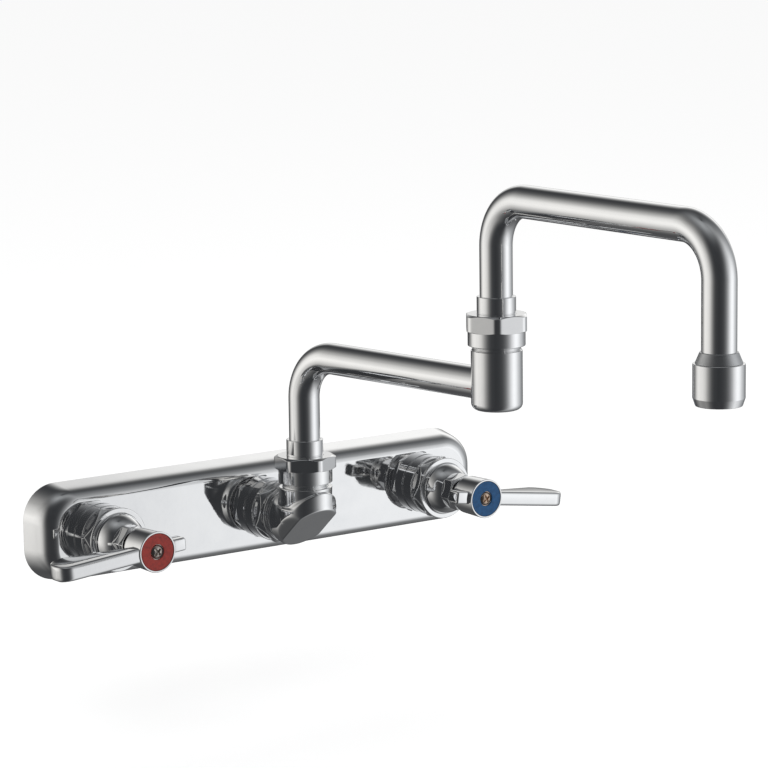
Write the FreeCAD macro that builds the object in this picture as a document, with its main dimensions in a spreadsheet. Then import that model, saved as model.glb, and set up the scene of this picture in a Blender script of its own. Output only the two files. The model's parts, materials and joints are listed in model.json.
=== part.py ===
import FreeCAD, Part
import math
import os

import Sketcher

# A wall faucet with two lever valves on 8 inch centres and a double-jointed swing spout.
# Frame: +X to the right, +Y into the wall, +Z up.  The origin is the middle of the body's
# back face, on the wall, at the height of both valves.  Millimetres and degrees.

# Driving dimensions.  "Height" on a valve is measured out from the wall along its own axis,
# and on the spout up from the valves' level.
SIZES = {
    # body: a hollow casting, widest at the wall
    "body_depth": 18.8,
    "body_back_width": 272.0,
    "body_back_top": 25.8,
    "body_back_bottom": 23.8,
    "body_back_corner": 18.0,
    "body_waist_depth": 10.0,
    "body_waist_width": 268.6,
    "body_waist_top": 23.4,
    "body_waist_bottom": 22.0,
    "body_waist_corner": 16.5,
    "body_front_width": 254.2,
    "body_front_top": 18.9,
    "body_front_bottom": 18.1,
    "body_front_corner": 14.0,
    "body_edge_round": 0.8,
    "body_wall": 3.5,
    "valve_spacing": 203.2,
    "inlet_radius": 9.3,
    "inlet_depth": 8.5,
    "inlet_boss_radius": 14.6,
    "stub_height": 6.0,
    "outlet_boss_radius": 13.2,
    "outlet_chamber_radius": 9.6,
    "outlet_thread_length": 4.0,
    "seat_height": 10.5,
    "seat_hole_radius": 5.5,
    "chamber_radius": 10.4,
    "channel_height": 13.6,
    "channel_radius": 3.0,
    "channel_wall": 2.0,
    # clearances
    "running_gap": 0.05,
    "thread_gap": 0.05,
    "seal_gap": 0.05,
    "face_gap": 0.1,
    # bonnet: the big hexagon on the plate, its turned ring and its dome
    "bonnet_thread_radius": 12.4,
    "bonnet_flange_radius": 15.9,
    "bonnet_flange_height": 7.3,
    "bonnet_flats": 28.575,
    "bonnet_hex_height": 2.8,
    "bonnet_chamfer": 2.5,
    "bonnet_neck_sink": 2.3,
    "bonnet_neck_height": 2.4,
    "bonnet_ring_radius": 16.24,
    "bonnet_ring_height": 1.6,
    "locknut_ring_radius": 14.9,
    "locknut_turn": 20.0,
    "bonnet_dome_radius": 13.5,
    "bonnet_dome_height": 9.0,
    "bonnet_dome_bow": 13.0,
    "bonnet_mouth_radius": 9.0,
    "bonnet_wall": 2.4,
    "hot_bonnet_turn": -8.5,
    "cold_bonnet_turn": 12.5,
    # quarter-turn cartridge
    "gasket_thickness": 0.8,
    "cartridge_skirt_radius": 9.8,
    "cartridge_skirt_lift": 0.6,
    "cartridge_flange_radius": 12.1,
    "cartridge_flange_height": 1.8,
    "cartridge_sleeve_radius": 8.0,
    "cartridge_cavity_radius": 8.15,
    "thrust_washer_thickness": 0.7,
    "cartridge_neck_radius": 6.4,
    "cartridge_neck_height": 3.0,
    "window_width": 7.0,
    "window_height": 3.6,
    "seat_washer_thickness": 2.0,
    "seat_washer_radius": 8.0,
    "seat_washer_hole": 4.5,
    "disc_radius": 8.0,
    "disc_thickness": 2.6,
    "disc_port_outer": 6.5,
    "disc_port_open": 9.0,
    "disc_port_inner": 2.5,
    "disc_port_angle": 78.0,
    "stem_radius": 4.0,
    "stem_flange_radius": 7.6,
    "stem_flange_height": 1.7,
    "stem_tang_length": 10.0,
    "stem_tang_width": 2.4,
    "stem_tang_depth": 1.2,
    "stem_groove_radius": 2.95,
    "stem_groove_drop": 10.4,
    "stem_groove_width": 2.0,
    "stem_square": 5.6,
    "stem_square_height": 15.0,
    "packing_thickness": 1.5,
    "packing_nut_flats": 17.0,
    "packing_nut_lid": 2.3,
    "packing_nut_chamfer": 0.8,
    # lever
    "lever_face_height": 71.6,
    "hub_radius": 10.34,
    "hub_back_radius": 9.9,
    "hub_length": 15.6,
    "hub_neck_radius": 7.4,
    "hub_neck_lift": 0.8,
    "index_radius": 9.25,
    "index_thickness": 0.9,
    "index_sink": 0.1,
    "index_hole_radius": 3.85,
    "screw_seat_depth": 1.6,
    "screw_head_radius": 3.6,
    "screw_head_height": 2.9,
    "screw_radius": 1.95,
    "screw_length": 12.0,
    "screw_cross_width": 0.95,
    "screw_cross_length": 4.2,
    "screw_cross_depth": 1.3,
    "lever_length": 54.0,
    "lever_thickness": 7.6,
    "lever_front_sink": 0.6,
    "lever_root_width": 8.0,
    "lever_tip_width": 19.5,
    "lever_tip_start": 43.0,
    "lever_tip_round": 6.5,
    "lever_edge_round": 1.0,
    "tail_length": 18.0,
    "tail_width": 8.0,
    "tail_thickness": 6.6,
    "tail_front_sink": 1.8,
    "hot_lever_droop": 5.0,
    "cold_lever_droop": 8.0,
    # elbow
    "elbow_thread_radius": 10.4,
    "elbow_neck_radius": 13.5,
    "elbow_reach": 52.2,
    "elbow_barrel_radius": 15.5,
    "elbow_barrel_start": 11.5,
    "elbow_shoulder": 2.0,
    "elbow_collar_radius": 15.6,
    "elbow_collar_round": 3.0,
    "elbow_collar_top": 7.7,
    "elbow_flat_lean": 40.0,
    "elbow_flat_distance": 5.0,
    "elbow_bevel_distance": 11.5,
    "elbow_bevel_angle": 46.0,
    "elbow_water_radius": 5.6,
    "elbow_gasket_radius": 14.2,
    "elbow_gasket_thickness": 1.2,
    # swivel joints
    "socket_radius": 13.7,
    "socket_top": 17.1,
    "socket_thread_radius": 11.95,
    "socket_thread_height": 10.9,
    "socket_bore_radius": 8.75,
    "socket_bore_depth": 19.5,
    "nut_lift": 2.2,
    "nut_skirt_radius": 13.85,
    "nut_skirt_height": 7.0,
    "nut_flats": 28.6,
    "nut_corner_radius": 15.8,
    "nut_chamfer": 0.7,
    "nut_lid": 2.9,
    "joint_1_hex_height": 6.9,
    "joint_2_hex_height": 8.4,
    "joint_1_nut_turn": 24.0,
    "joint_2_nut_turn": -6.0,
    "sleeve_radius": 9.4,
    "sleeve_show": 8.3,
    "sleeve_spigot_length": 19.0,
    "sleeve_water_radius": 6.2,
    "sleeve_tube_stop": 1.2,
    "split_ring_radius": 11.2,
    "split_ring_groove_radius": 8.3,
    "split_ring_gap": 1.2,
    "o_ring_groove_radius": 7.3,
    "o_ring_groove_width": 1.9,
    "o_ring_pitch": 6.0,
    "joint_2_body_radius": 12.4,
    "joint_2_body_bottom": 73.7,
    "joint_2_body_top": 102.6,
    "joint_2_bottom_round": 3.0,
    "joint_2_chamber_radius": 7.0,
    "joint_2_chamber_floor": 78.0,
    # spout tubes
    "tube_radius": 7.9375,
    "tube_wall": 1.2,
    "tube_gap": 0.03,
    "arm_1_height": 85.2,
    "arm_1_reach": 138.9,
    "arm_1_bend_radius": 22.5,
    "arm_1_turn": 7.15,
    "arm_1_tube_stop": 9.0,
    "arm_2_height": 175.4,
    "arm_2_reach": 159.1,
    "arm_2_rise_bend_radius": 23.0,
    "arm_2_fall_bend_radius": 23.0,
    "arm_2_turn": 0.0,
    # outlet
    "outlet_bottom": 97.3,
    "housing_radius": 11.7,
    "housing_height": 18.9,
    "housing_chamfer_height": 3.6,
    "housing_mouth_outer": 10.45,
    "housing_mouth_radius": 8.3,
    "housing_lip": 1.7,
    "housing_bore_radius": 9.2,
    "housing_step_height": 8.1,
    "adapter_cone_height": 5.0,
    "adapter_cone_top_radius": 8.6,
    "adapter_cone_radius": 10.7,
    "adapter_thread_radius": 10.2,
    "adapter_tube_depth": 9.0,
    "adapter_water_radius": 6.5,
    "washer_thickness": 1.0,
    "washer_hole_radius": 6.8,
    "insert_rim_height": 1.2,
    "insert_floor": 2.0,
    "insert_wall": 1.2,
    "insert_hole_radius": 0.8,
    "insert_ring_1_radius": 3.0,
    "insert_ring_2_radius": 5.8,
}

SHEET_NAME = "Sizes"
FULL_TURN = 360.0
SQUARE = 90.0
HEX_SIDES = 6
PORTS = 2
PI = math.pi


def formula_of(value):
    """Sheet formula of a Dim, or of a plain number."""
    return value.formula if isinstance(value, Dim) else repr(float(value))


def number_of(value):
    """Plain number behind a Dim, or the number itself."""
    return value.number if isinstance(value, Dim) else float(value)


class Dim:
    """A length or angle that carries both its number and its formula in the sheet."""

    def __init__(self, number, formula):
        self.number = float(number)
        self.formula = formula

    def joined(self, other, sign, number):
        return Dim(number, f"({self.formula} {sign} {formula_of(other)})")

    def __add__(self, other):
        return self.joined(other, "+", self.number + number_of(other))

    def __sub__(self, other):
        return self.joined(other, "-", self.number - number_of(other))

    def __mul__(self, other):
        return self.joined(other, "*", self.number * number_of(other))

    def __truediv__(self, other):
        return self.joined(other, "/", self.number / number_of(other))

    def __radd__(self, other):
        return self + other

    def __rsub__(self, other):
        return Dim(number_of(other) - self.number, f"({formula_of(other)} - {self.formula})")

    def __rmul__(self, other):
        return self * other

    def __neg__(self):
        return Dim(-self.number, f"(-1 * {self.formula})")


def sine(angle):
    """Sine of an angle in degrees."""
    return Dim(math.sin(math.radians(number_of(angle))), f"sin({formula_of(angle)})")


def cosine(angle):
    """Cosine of an angle in degrees."""
    return Dim(math.cos(math.radians(number_of(angle))), f"cos({formula_of(angle)})")


class Sizes:
    """The sheet's cells, read by name as Dims."""

    def __init__(self, document):
        sheet = document.addObject("Spreadsheet::Sheet", SHEET_NAME)
        for row, (name, value) in enumerate(SIZES.items(), start=1):
            sheet.set(f"A{row}", name)
            sheet.set(f"B{row}", str(value))
            sheet.setAlias(f"B{row}", name)
        document.recompute()
        for name in SIZES:
            setattr(self, name, Dim(sheet.get(name), f"{SHEET_NAME}.{name}"))


doc = FreeCAD.newDocument("WallFaucet")
size = Sizes(doc)
nodes = []


# ---------------------------------------------------------------- sketches and features

def new_body(label):
    """A PartDesign body that becomes one node."""
    body = doc.addObject("PartDesign::Body", label)
    body.Label = label
    nodes.append(body)
    return body


def origin_plane(body, role):
    return next(item for item in body.Origin.OriginFeatures if item.Role == role)


def new_sketch(body, name, role, offset=0):
    """A sketch on one of the body's own planes, moved off it along the plane's normal."""
    sketch = body.newObject("Sketcher::SketchObject", f"{body.Name}_{name}")
    sketch.AttachmentSupport = [(origin_plane(body, role), "")]
    sketch.MapMode = "FlatFace"
    sketch.AttachmentOffset.Base.z = number_of(offset)
    if isinstance(offset, Dim):
        sketch.setExpression("AttachmentOffset.Base.z", offset.formula)
    return sketch


def bind(sketch, kind, *parts):
    """Add a constraint whose last part is a size, and tie it to the sheet."""
    *places, value = parts
    index = sketch.addConstraint(Sketcher.Constraint(kind, *places, number_of(value)))
    if isinstance(value, Dim):
        sketch.setExpression(f"Constraints[{index}]", value.formula)


def pin_point(sketch, geometry, end, across, up):
    """Hold one end of a piece of geometry at a place in the sketch."""
    if isinstance(across, Dim):
        bind(sketch, "DistanceX", -1, 1, geometry, end, across)
    elif across == 0:
        sketch.addConstraint(Sketcher.Constraint("PointOnObject", geometry, end, -2))
    else:
        bind(sketch, "DistanceX", -1, 1, geometry, end, across)
    if isinstance(up, Dim):
        bind(sketch, "DistanceY", -1, 1, geometry, end, up)
    elif up == 0:
        sketch.addConstraint(Sketcher.Constraint("PointOnObject", geometry, end, -1))
    else:
        bind(sketch, "DistanceY", -1, 1, geometry, end, up)


def flat_point(corner):
    return FreeCAD.Vector(number_of(corner[0]), number_of(corner[1]), 0)


def arc_between(start, end, radius):
    """Arc from start to end; a positive radius turns left along the way, a negative right."""
    middle = (start + end) / 2
    chord = end - start
    sagitta_leg = math.sqrt(max(radius ** 2 - (chord.Length / 2) ** 2, 0))
    left = FreeCAD.Vector(-chord.y, chord.x, 0).normalize()
    centre = middle + left * sagitta_leg * (1 if radius > 0 else -1)
    first, last = (start, end) if radius > 0 else (end, start)
    angles = [math.atan2(point.y - centre.y, point.x - centre.x) for point in (first, last)]
    circle = Part.Circle(centre, FreeCAD.Vector(0, 0, 1), abs(radius))
    return Part.ArcOfCircle(circle, angles[0], angles[1])


def draw_outline(sketch, corners, closed=True):
    """Closed or open outline.  A corner is (across, up) and, after an arc, (across, up, radius).

    The third value is the radius of the arc that ends at the corner: positive where the
    outline turns left, negative where it turns right.
    """
    first = sketch.GeometryCount
    pairs = list(zip(corners[-1:] + corners[:-1], corners)) if closed else list(zip(corners, corners[1:]))
    ends = []
    for start, end in pairs:
        if len(end) == 2:
            sketch.addGeometry(Part.LineSegment(flat_point(start), flat_point(end)))
            ends.append((1, 2))
        else:
            radius = number_of(end[2])
            sketch.addGeometry(arc_between(flat_point(start), flat_point(end), radius))
            ends.append((1, 2) if radius > 0 else (2, 1))
    for index, (start, end) in enumerate(pairs):
        geometry = first + index
        following = (index + 1) % len(pairs)
        if closed or following:
            joint = (geometry, ends[index][1], first + following, ends[following][0])
            sketch.addConstraint(Sketcher.Constraint("Coincident", *joint))
        pin_point(sketch, geometry, ends[index][1], end[0], end[1])
        if len(end) == 3:
            radius = end[2] if number_of(end[2]) > 0 else -end[2]
            bind(sketch, "Radius", geometry, radius)
    if not closed:
        pin_point(sketch, first, ends[0][0], corners[0][0], corners[0][1])


def draw_circle(sketch, radius, across=0, up=0):
    place = FreeCAD.Vector(number_of(across), number_of(up), 0)
    circle = Part.Circle(place, FreeCAD.Vector(0, 0, 1), number_of(radius))
    index = sketch.addGeometry(circle)
    bind(sketch, "Radius", index, radius)
    pin_point(sketch, index, 3, across, up)


def draw_hexagon(sketch, across_flats):
    """Hexagon with a corner on the sketch's first axis."""
    corner_radius = across_flats / math.sqrt(3)
    angles = [FULL_TURN / HEX_SIDES * side for side in range(HEX_SIDES)]
    draw_outline(sketch, [(corner_radius * cosine(angle), corner_radius * sine(angle)) for angle in angles])


def draw_rectangle(sketch, left, right, bottom, top):
    draw_outline(sketch, [(left, bottom), (right, bottom), (right, top), (left, top)])


def revolve(body, sketch, kind="Revolution"):
    feature = body.newObject(f"PartDesign::{kind}", f"{sketch.Name}_{kind.lower()}")
    feature.Profile = sketch
    feature.ReferenceAxis = (sketch, ["V_Axis"])
    feature.Angle = FULL_TURN
    return feature


def pad(body, sketch, length, both_ways=False, backwards=False):
    feature = body.newObject("PartDesign::Pad", f"{sketch.Name}_pad")
    feature.Profile = sketch
    feature.Length = number_of(length)
    feature.setExpression("Length", formula_of(length))
    feature.Midplane = both_ways
    feature.Reversed = backwards
    return feature


def pocket(body, sketch, length, forwards=True, both_ways=False):
    """Cut along the sketch's normal, or against it."""
    feature = body.newObject("PartDesign::Pocket", f"{sketch.Name}_pocket")
    feature.Profile = sketch
    feature.Length = number_of(length)
    feature.setExpression("Length", formula_of(length))
    feature.Midplane = both_ways
    feature.Reversed = forwards
    return feature


def turned(label, corners):
    """A piece turned about its own Z axis from an outline of (radius, height) corners."""
    body = new_body(label)
    sketch = new_sketch(body, "profile", "XZ_Plane")
    draw_outline(sketch, corners)
    revolve(body, sketch)
    return body


def mill_hexagon(body, across_flats, start, height, swing):
    """Cut six flats over part of a turned piece; swing is the radius that is cleared."""
    sketch = new_sketch(body, "hexagon", "XY_Plane", start)
    draw_hexagon(sketch, across_flats)
    draw_circle(sketch, swing)
    return pocket(body, sketch, height)


def bore(body, name, role, offset, radius, length, across=0, up=0, forwards=True):
    """A round hole that starts on an offset plane."""
    sketch = new_sketch(body, name, role, offset)
    draw_circle(sketch, radius, across, up)
    return pocket(body, sketch, length, forwards)


def round_edges(body, radius, chosen, name="round"):
    """Fillet the edges of the body's present tip for which chosen(edge) is true."""
    doc.recompute()
    tip = body.Tip
    edges = [f"Edge{index}" for index, edge in enumerate(tip.Shape.Edges, start=1) if chosen(edge)]
    feature = body.newObject("PartDesign::Fillet", f"{body.Name}_{name}")
    feature.Base = (tip, edges)
    feature.Radius = number_of(radius)
    feature.setExpression("Radius", formula_of(radius))
    return feature


# ---------------------------------------------------------------- Part primitives

def primitive(kind, name, **properties):
    """A Part primitive whose properties are tied to the sheet."""
    item = doc.addObject(f"Part::{kind}", name)
    for key, value in properties.items():
        setattr(item, key, number_of(value))
        item.setExpression(key, formula_of(value))
    return item


def shifted(item, across=0, along=0, up=0, axis=None, angle=0):
    """Place an object; lengths stay tied to the sheet."""
    turn = FreeCAD.Rotation(FreeCAD.Vector(*axis), number_of(angle)) if axis else FreeCAD.Rotation()
    place = FreeCAD.Vector(number_of(across), number_of(along), number_of(up))
    item.Placement = FreeCAD.Placement(place, turn)
    for key, value in (("x", across), ("y", along), ("z", up)):
        if isinstance(value, Dim):
            item.setExpression(f"Placement.Base.{key}", value.formula)
    return item


def fused(name, items):
    item = doc.addObject("Part::MultiFuse", name)
    item.Shapes = items
    return item


def cut(name, base, tool):
    item = doc.addObject("Part::Cut", name)
    item.Base = base
    item.Tool = tool
    return item


def as_node(item, label):
    item.Label = label
    nodes.append(item)
    return item


# ---------------------------------------------------------------- where pieces stand

def on_valve(item, side, turn=0.0):
    """Stand a piece on a valve: its Z axis points away from the wall."""
    outward = FreeCAD.Rotation(FreeCAD.Vector(1, 0, 0), SQUARE)
    about_axis = FreeCAD.Rotation(FreeCAD.Vector(0, 0, 1), number_of(turn))
    across = size.valve_spacing / 2 * side
    place = FreeCAD.Vector(across.number, 0, 0)
    item.Placement = FreeCAD.Placement(place, outward.multiply(about_axis))
    item.setExpression("Placement.Base.x", across.formula)
    return item


def on_joint_1(item, turn=None):
    """Stand a piece on the first swivel, turned with the first arm if no turn is given."""
    angle = size.arm_1_turn if turn is None else turn
    return shifted(item, 0, -size.elbow_reach, 0, (0, 0, 1), angle)


def joint_2_place():
    """Where the second swivel's axis stands at rest."""
    across = size.arm_1_reach * sine(size.arm_1_turn)
    along = -size.elbow_reach - size.arm_1_reach * cosine(size.arm_1_turn)
    return across, along


def on_joint_2(item, turn=None):
    """Stand a piece on the second swivel, turned with the second arm if no turn is given."""
    across, along = joint_2_place()
    angle = size.arm_2_turn if turn is None else turn
    return shifted(item, across, along, 0, (0, 0, 1), angle)


def on_outlet(item):
    """Stand a piece on the outlet's axis at the end of the second arm."""
    across, along = joint_2_place()
    outlet_across = across + size.arm_2_reach * sine(size.arm_2_turn)
    outlet_along = along - size.arm_2_reach * cosine(size.arm_2_turn)
    return shifted(item, outlet_across, outlet_along, 0, (0, 0, 1), size.arm_2_turn)


# ---------------------------------------------------------------- body

def draw_body_section(sketch, width, top, bottom, corner, inset):
    """Rounded rectangle of one section of the body, drawn in by inset."""
    side = width / 2 - inset
    high = top - inset
    low = -bottom + inset
    radius = corner - inset
    draw_outline(sketch, [
        (-side + radius, low),
        (side - radius, low),
        (side, low + radius, radius),
        (side, high - radius),
        (side - radius, high, radius),
        (-side + radius, high),
        (-side, high - radius, radius),
        (-side, low + radius),
        (-side + radius, low, radius),
    ][1:])


def body_sections(body, name, inset, front_depth):
    """Three sections from the wall to the front, each smaller than the one behind it."""
    depths = (0, size.body_waist_depth, front_depth)
    sections = []
    for place, depth in zip(("back", "waist", "front"), depths):
        sketch = new_sketch(body, f"{name}_{place}", "XZ_Plane", depth)
        values = [getattr(size, f"body_{place}_{key}") for key in ("width", "top", "bottom", "corner")]
        draw_body_section(sketch, *values, inset)
        sections.append(sketch)
    return sections


def loft(body, kind, sections):
    feature = body.newObject(f"PartDesign::{kind}", f"{sections[0].Name}_loft")
    feature.Profile = sections[0]
    feature.Sections = sections[1:]
    return feature


def make_valve_body():
    """Casting: outer shell, rear recess, bosses, mixing channel and the bores in them."""
    body = new_body("valve_body")
    loft(body, "AdditiveLoft", body_sections(body, "outside", 0, size.body_depth))
    front = -size.body_depth.number
    round_edges(body, size.body_edge_round, lambda edge: lies_at_depth(edge, front), "front_edge")
    plate_back = size.body_depth - size.body_wall
    loft(body, "SubtractiveLoft", body_sections(body, "recess", size.body_wall, plate_back))
    stations = (-size.valve_spacing / 2, size.valve_spacing / 2)
    for name, place in (("hot", stations[0]), ("cold", stations[1])):
        make_inlet_boss(body, name, place)
    sketch = new_sketch(body, "outlet_boss", "XZ_Plane")
    draw_circle(sketch, size.outlet_boss_radius)
    pad(body, sketch, size.body_depth - size.body_edge_round)
    channel = new_sketch(body, "channel_wall", "YZ_Plane")
    draw_circle(channel, size.channel_radius + size.channel_wall, -size.channel_height)
    pad(body, channel, size.valve_spacing, both_ways=True)
    raise_stubs(body)
    channel = new_sketch(body, "channel", "YZ_Plane")
    draw_circle(channel, size.channel_radius, -size.channel_height)
    pocket(body, channel, size.valve_spacing, both_ways=True)
    chamber_depth = valve_thread_top() - size.seat_height
    seat_web = size.seat_height - size.inlet_depth
    for name, place in (("hot", stations[0]), ("cold", stations[1])):
        bore(body, f"{name}_inlet", "XZ_Plane", 0, size.inlet_radius, size.inlet_depth, place)
        bore(body, f"{name}_seat", "XZ_Plane", size.inlet_depth, size.seat_hole_radius, seat_web, place)
        bore(body, f"{name}_chamber", "XZ_Plane", size.seat_height, size.chamber_radius, chamber_depth, place)
    thread_floor = outlet_thread_floor()
    outlet_depth = thread_floor - size.seat_height
    bore(body, "outlet_chamber", "XZ_Plane", size.seat_height, size.outlet_chamber_radius, outlet_depth)
    outlet_thread = size.elbow_thread_radius + size.thread_gap
    thread_depth = size.body_depth - thread_floor
    bore(body, "outlet_thread", "XZ_Plane", thread_floor, outlet_thread, thread_depth)
    gasket_floor = size.body_depth - size.elbow_gasket_thickness
    gasket_radius = size.elbow_gasket_radius + size.face_gap
    bore(body, "outlet_gasket", "XZ_Plane", gasket_floor, gasket_radius, size.elbow_gasket_thickness)


def make_inlet_boss(body, name, place):
    """Round boss behind a valve, for the supply thread and the valve's seat."""
    sketch = new_sketch(body, f"{name}_boss", "XZ_Plane")
    draw_circle(sketch, size.inlet_boss_radius, place)
    pad(body, sketch, size.body_depth - size.body_edge_round)


def raise_stubs(body):
    """Threaded stubs on the plate that the bonnets screw on."""
    for name, side in (("hot", -1), ("cold", 1)):
        place = size.valve_spacing / 2 * side
        sketch = new_sketch(body, f"{name}_stub", "XZ_Plane", size.seat_height)
        draw_circle(sketch, size.bonnet_thread_radius - size.thread_gap, place)
        pad(body, sketch, valve_thread_top() - size.seat_height)


def valve_thread_top():
    """Height of the face that the cartridge's gasket lies on."""
    return size.body_depth + size.stub_height


def outlet_thread_floor():
    """Height of the step that the elbow's tail stops on."""
    return size.body_depth - size.outlet_thread_length


def lies_at_depth(edge, depth):
    box = edge.BoundBox
    return abs(box.YMin - depth) < 1e-4 and abs(box.YMax - depth) < 1e-4


# ---------------------------------------------------------------- valves

def hexagon_swing(across_flats):
    """Radius of a hexagon's corners, with a little to spare."""
    return across_flats / math.sqrt(3)


def ringed_hexagon(seat, ring_radius):
    """Flange, hexagon and turned ring in outline, as the bonnets and the elbow nut have them."""
    corner = hexagon_swing(size.bonnet_flats)
    flange_end = seat + size.bonnet_flange_height
    hex_end = flange_end + size.bonnet_hex_height
    chamfer_end = hex_end + size.bonnet_chamfer
    neck_end = chamfer_end + size.bonnet_neck_height
    ring_end = neck_end + size.bonnet_ring_height
    outline = [
        (size.bonnet_flange_radius, seat),
        (size.bonnet_flange_radius, flange_end),
        (corner, flange_end),
        (corner, hex_end),
        (corner - size.bonnet_chamfer, chamfer_end),
        (ring_radius - size.bonnet_neck_sink, chamfer_end),
        (ring_radius - size.bonnet_neck_sink, neck_end),
        (ring_radius, neck_end),
        (ring_radius, ring_end),
    ]
    return outline, chamfer_end, ring_end


def mill_ringed_hexagon(body, chamfer_end):
    """Six flats between the flange and the end of the chamfer."""
    foot = size.body_depth + size.bonnet_flange_height
    swing = hexagon_swing(size.bonnet_flats) + size.bonnet_wall
    mill_hexagon(body, size.bonnet_flats, foot, chamfer_end - foot, swing)


def bonnet_top():
    return ring_top() + size.bonnet_dome_height


def ring_top():
    """Height of the face beyond a hexagon's turned ring."""
    return ringed_hexagon(size.body_depth, size.bonnet_ring_radius)[2]


def flange_heights():
    """Foot and top of the cartridge's flange, which the bonnet presses on its gasket."""
    foot = valve_thread_top() + size.gasket_thickness
    return foot, foot + size.cartridge_flange_height


def make_bonnet(side, name):
    """Hexagon cap screwed on the body's stub, with a turned ring and a dome."""
    outline, chamfer_end, ring_end = ringed_hexagon(size.body_depth, size.bonnet_ring_radius)
    thread = size.bonnet_thread_radius
    step = flange_heights()[1]
    mouth = size.cartridge_sleeve_radius + size.thread_gap
    inner = size.bonnet_dome_radius - size.bonnet_wall
    body = turned(f"{name}_bonnet", [
        (thread, size.body_depth),
        *outline,
        (size.bonnet_dome_radius, ring_end),
        (size.bonnet_mouth_radius, bonnet_top(), size.bonnet_dome_bow),
        (mouth, bonnet_top()),
        (mouth, ring_end + size.bonnet_dome_height / 2),
        (inner, ring_end),
        (inner, step),
        (thread, step),
    ])
    mill_ringed_hexagon(body, chamfer_end)
    on_valve(body, side, getattr(size, f"{name}_bonnet_turn"))


def make_bonnet_gasket(side, name):
    """Fibre washer under the cartridge's flange."""
    foot = valve_thread_top()
    hole = size.cartridge_skirt_radius + size.face_gap
    body = turned(f"{name}_bonnet_gasket", [
        (hole, foot),
        (size.cartridge_flange_radius, foot),
        (size.cartridge_flange_radius, foot + size.gasket_thickness),
        (hole, foot + size.gasket_thickness),
    ])
    on_valve(body, side)


def make_cartridge(side, name):
    """Sleeve that holds the discs and guides the stem, with a window on each side."""
    flange, flange_top = flange_heights()
    cavity_top = thrust_washer_foot() + size.thrust_washer_thickness + size.face_gap
    foot = size.seat_height + size.cartridge_skirt_lift
    sleeve_top = bonnet_top()
    neck_top = sleeve_top + size.cartridge_neck_height
    guide = size.stem_radius + size.running_gap
    body = turned(f"{name}_cartridge", [
        (size.cartridge_cavity_radius, foot),
        (size.cartridge_skirt_radius, foot),
        (size.cartridge_skirt_radius, flange),
        (size.cartridge_flange_radius, flange),
        (size.cartridge_flange_radius, flange_top),
        (size.cartridge_sleeve_radius, flange_top),
        (size.cartridge_sleeve_radius, sleeve_top),
        (size.cartridge_neck_radius, sleeve_top),
        (size.cartridge_neck_radius, neck_top),
        (guide, neck_top),
        (guide, cavity_top),
        (size.cartridge_cavity_radius, cavity_top),
    ])
    window = new_sketch(body, "window", "YZ_Plane")
    half = size.window_width / 2
    sill = moving_disc_height() + (size.disc_thickness - size.window_height) / 2
    draw_rectangle(window, -half, half, sill, sill + size.window_height)
    pocket(body, window, size.cartridge_flange_radius * 2, both_ways=True)
    on_valve(body, side)


def disc_ports(label, start, thickness, first_angle, reach):
    """Two opposite ports, each a sector between two radii."""
    ports = []
    for index in range(PORTS):
        angle = first_angle + FULL_TURN / PORTS * index
        outer = primitive("Cylinder", f"{label}_port_{index}", Radius=reach, Height=thickness)
        outer.Angle = size.disc_port_angle.number
        outer.setExpression("Angle", size.disc_port_angle.formula)
        shifted(outer, 0, 0, start, (0, 0, 1), angle)
        ports.append(outer)
    core = primitive("Cylinder", f"{label}_core", Radius=size.disc_port_inner, Height=thickness)
    shifted(core, 0, 0, start)
    return cut(f"{label}_openings", fused(f"{label}_sectors", ports), core)


def fixed_disc_height():
    return size.seat_height + size.seat_washer_thickness


def moving_disc_height():
    return fixed_disc_height() + size.disc_thickness + size.face_gap


def stem_foot():
    return moving_disc_height() + size.disc_thickness + size.face_gap


def make_discs(side, name):
    """Ceramic pair: shut, the moving disc's two wings cover the fixed disc's two ports."""
    first = -size.disc_port_angle.number / 2
    fixed = f"{name}_fixed_disc"
    foot = fixed_disc_height()
    ports = disc_ports(fixed, foot, size.disc_thickness, first, size.disc_port_outer)
    on_valve(as_node(cut(f"{fixed}_part", disc_blank(fixed, foot), ports), fixed), side)
    moving = f"{name}_moving_disc"
    foot = moving_disc_height()
    ports = disc_ports(moving, foot, size.disc_thickness, SQUARE + first, size.disc_port_open)
    tools = fused(f"{moving}_tools", [ports, tang_slot(moving, foot)])
    disc = cut(f"{moving}_part", disc_blank(moving, foot), tools)
    on_valve(as_node(disc, moving), side, lever_turn(side, name))


def disc_blank(label, foot):
    """Plain ceramic disc before its ports are cut."""
    blank = primitive("Cylinder", f"{label}_blank", Radius=size.disc_radius, Height=size.disc_thickness)
    return shifted(blank, 0, 0, foot)


def tang_slot(label, height):
    """Slot across the moving disc that the stem's tang drives."""
    length = size.stem_tang_length + size.face_gap * 2
    width = size.stem_tang_width + size.face_gap * 2
    slot = primitive("Box", f"{label}_slot", Length=length, Width=width, Height=size.stem_tang_depth)
    floor = height + size.disc_thickness - size.stem_tang_depth
    return shifted(slot, -length / 2, -width / 2, floor)


def make_seat_washer(side, name):
    """Rubber seal between the body's seat and the fixed disc."""
    top = size.seat_height + size.seat_washer_thickness
    body = turned(f"{name}_seat_washer", [
        (size.seat_washer_hole, size.seat_height),
        (size.seat_washer_radius, size.seat_height),
        (size.seat_washer_radius, top),
        (size.seat_washer_hole, top),
    ])
    on_valve(body, side)


def stem_square_foot():
    """Height at which the stem's square starts, just clear of the packing nut."""
    return packing_nut_top() + size.hub_neck_lift


def stem_top():
    return stem_square_foot() + size.stem_square_height


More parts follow.
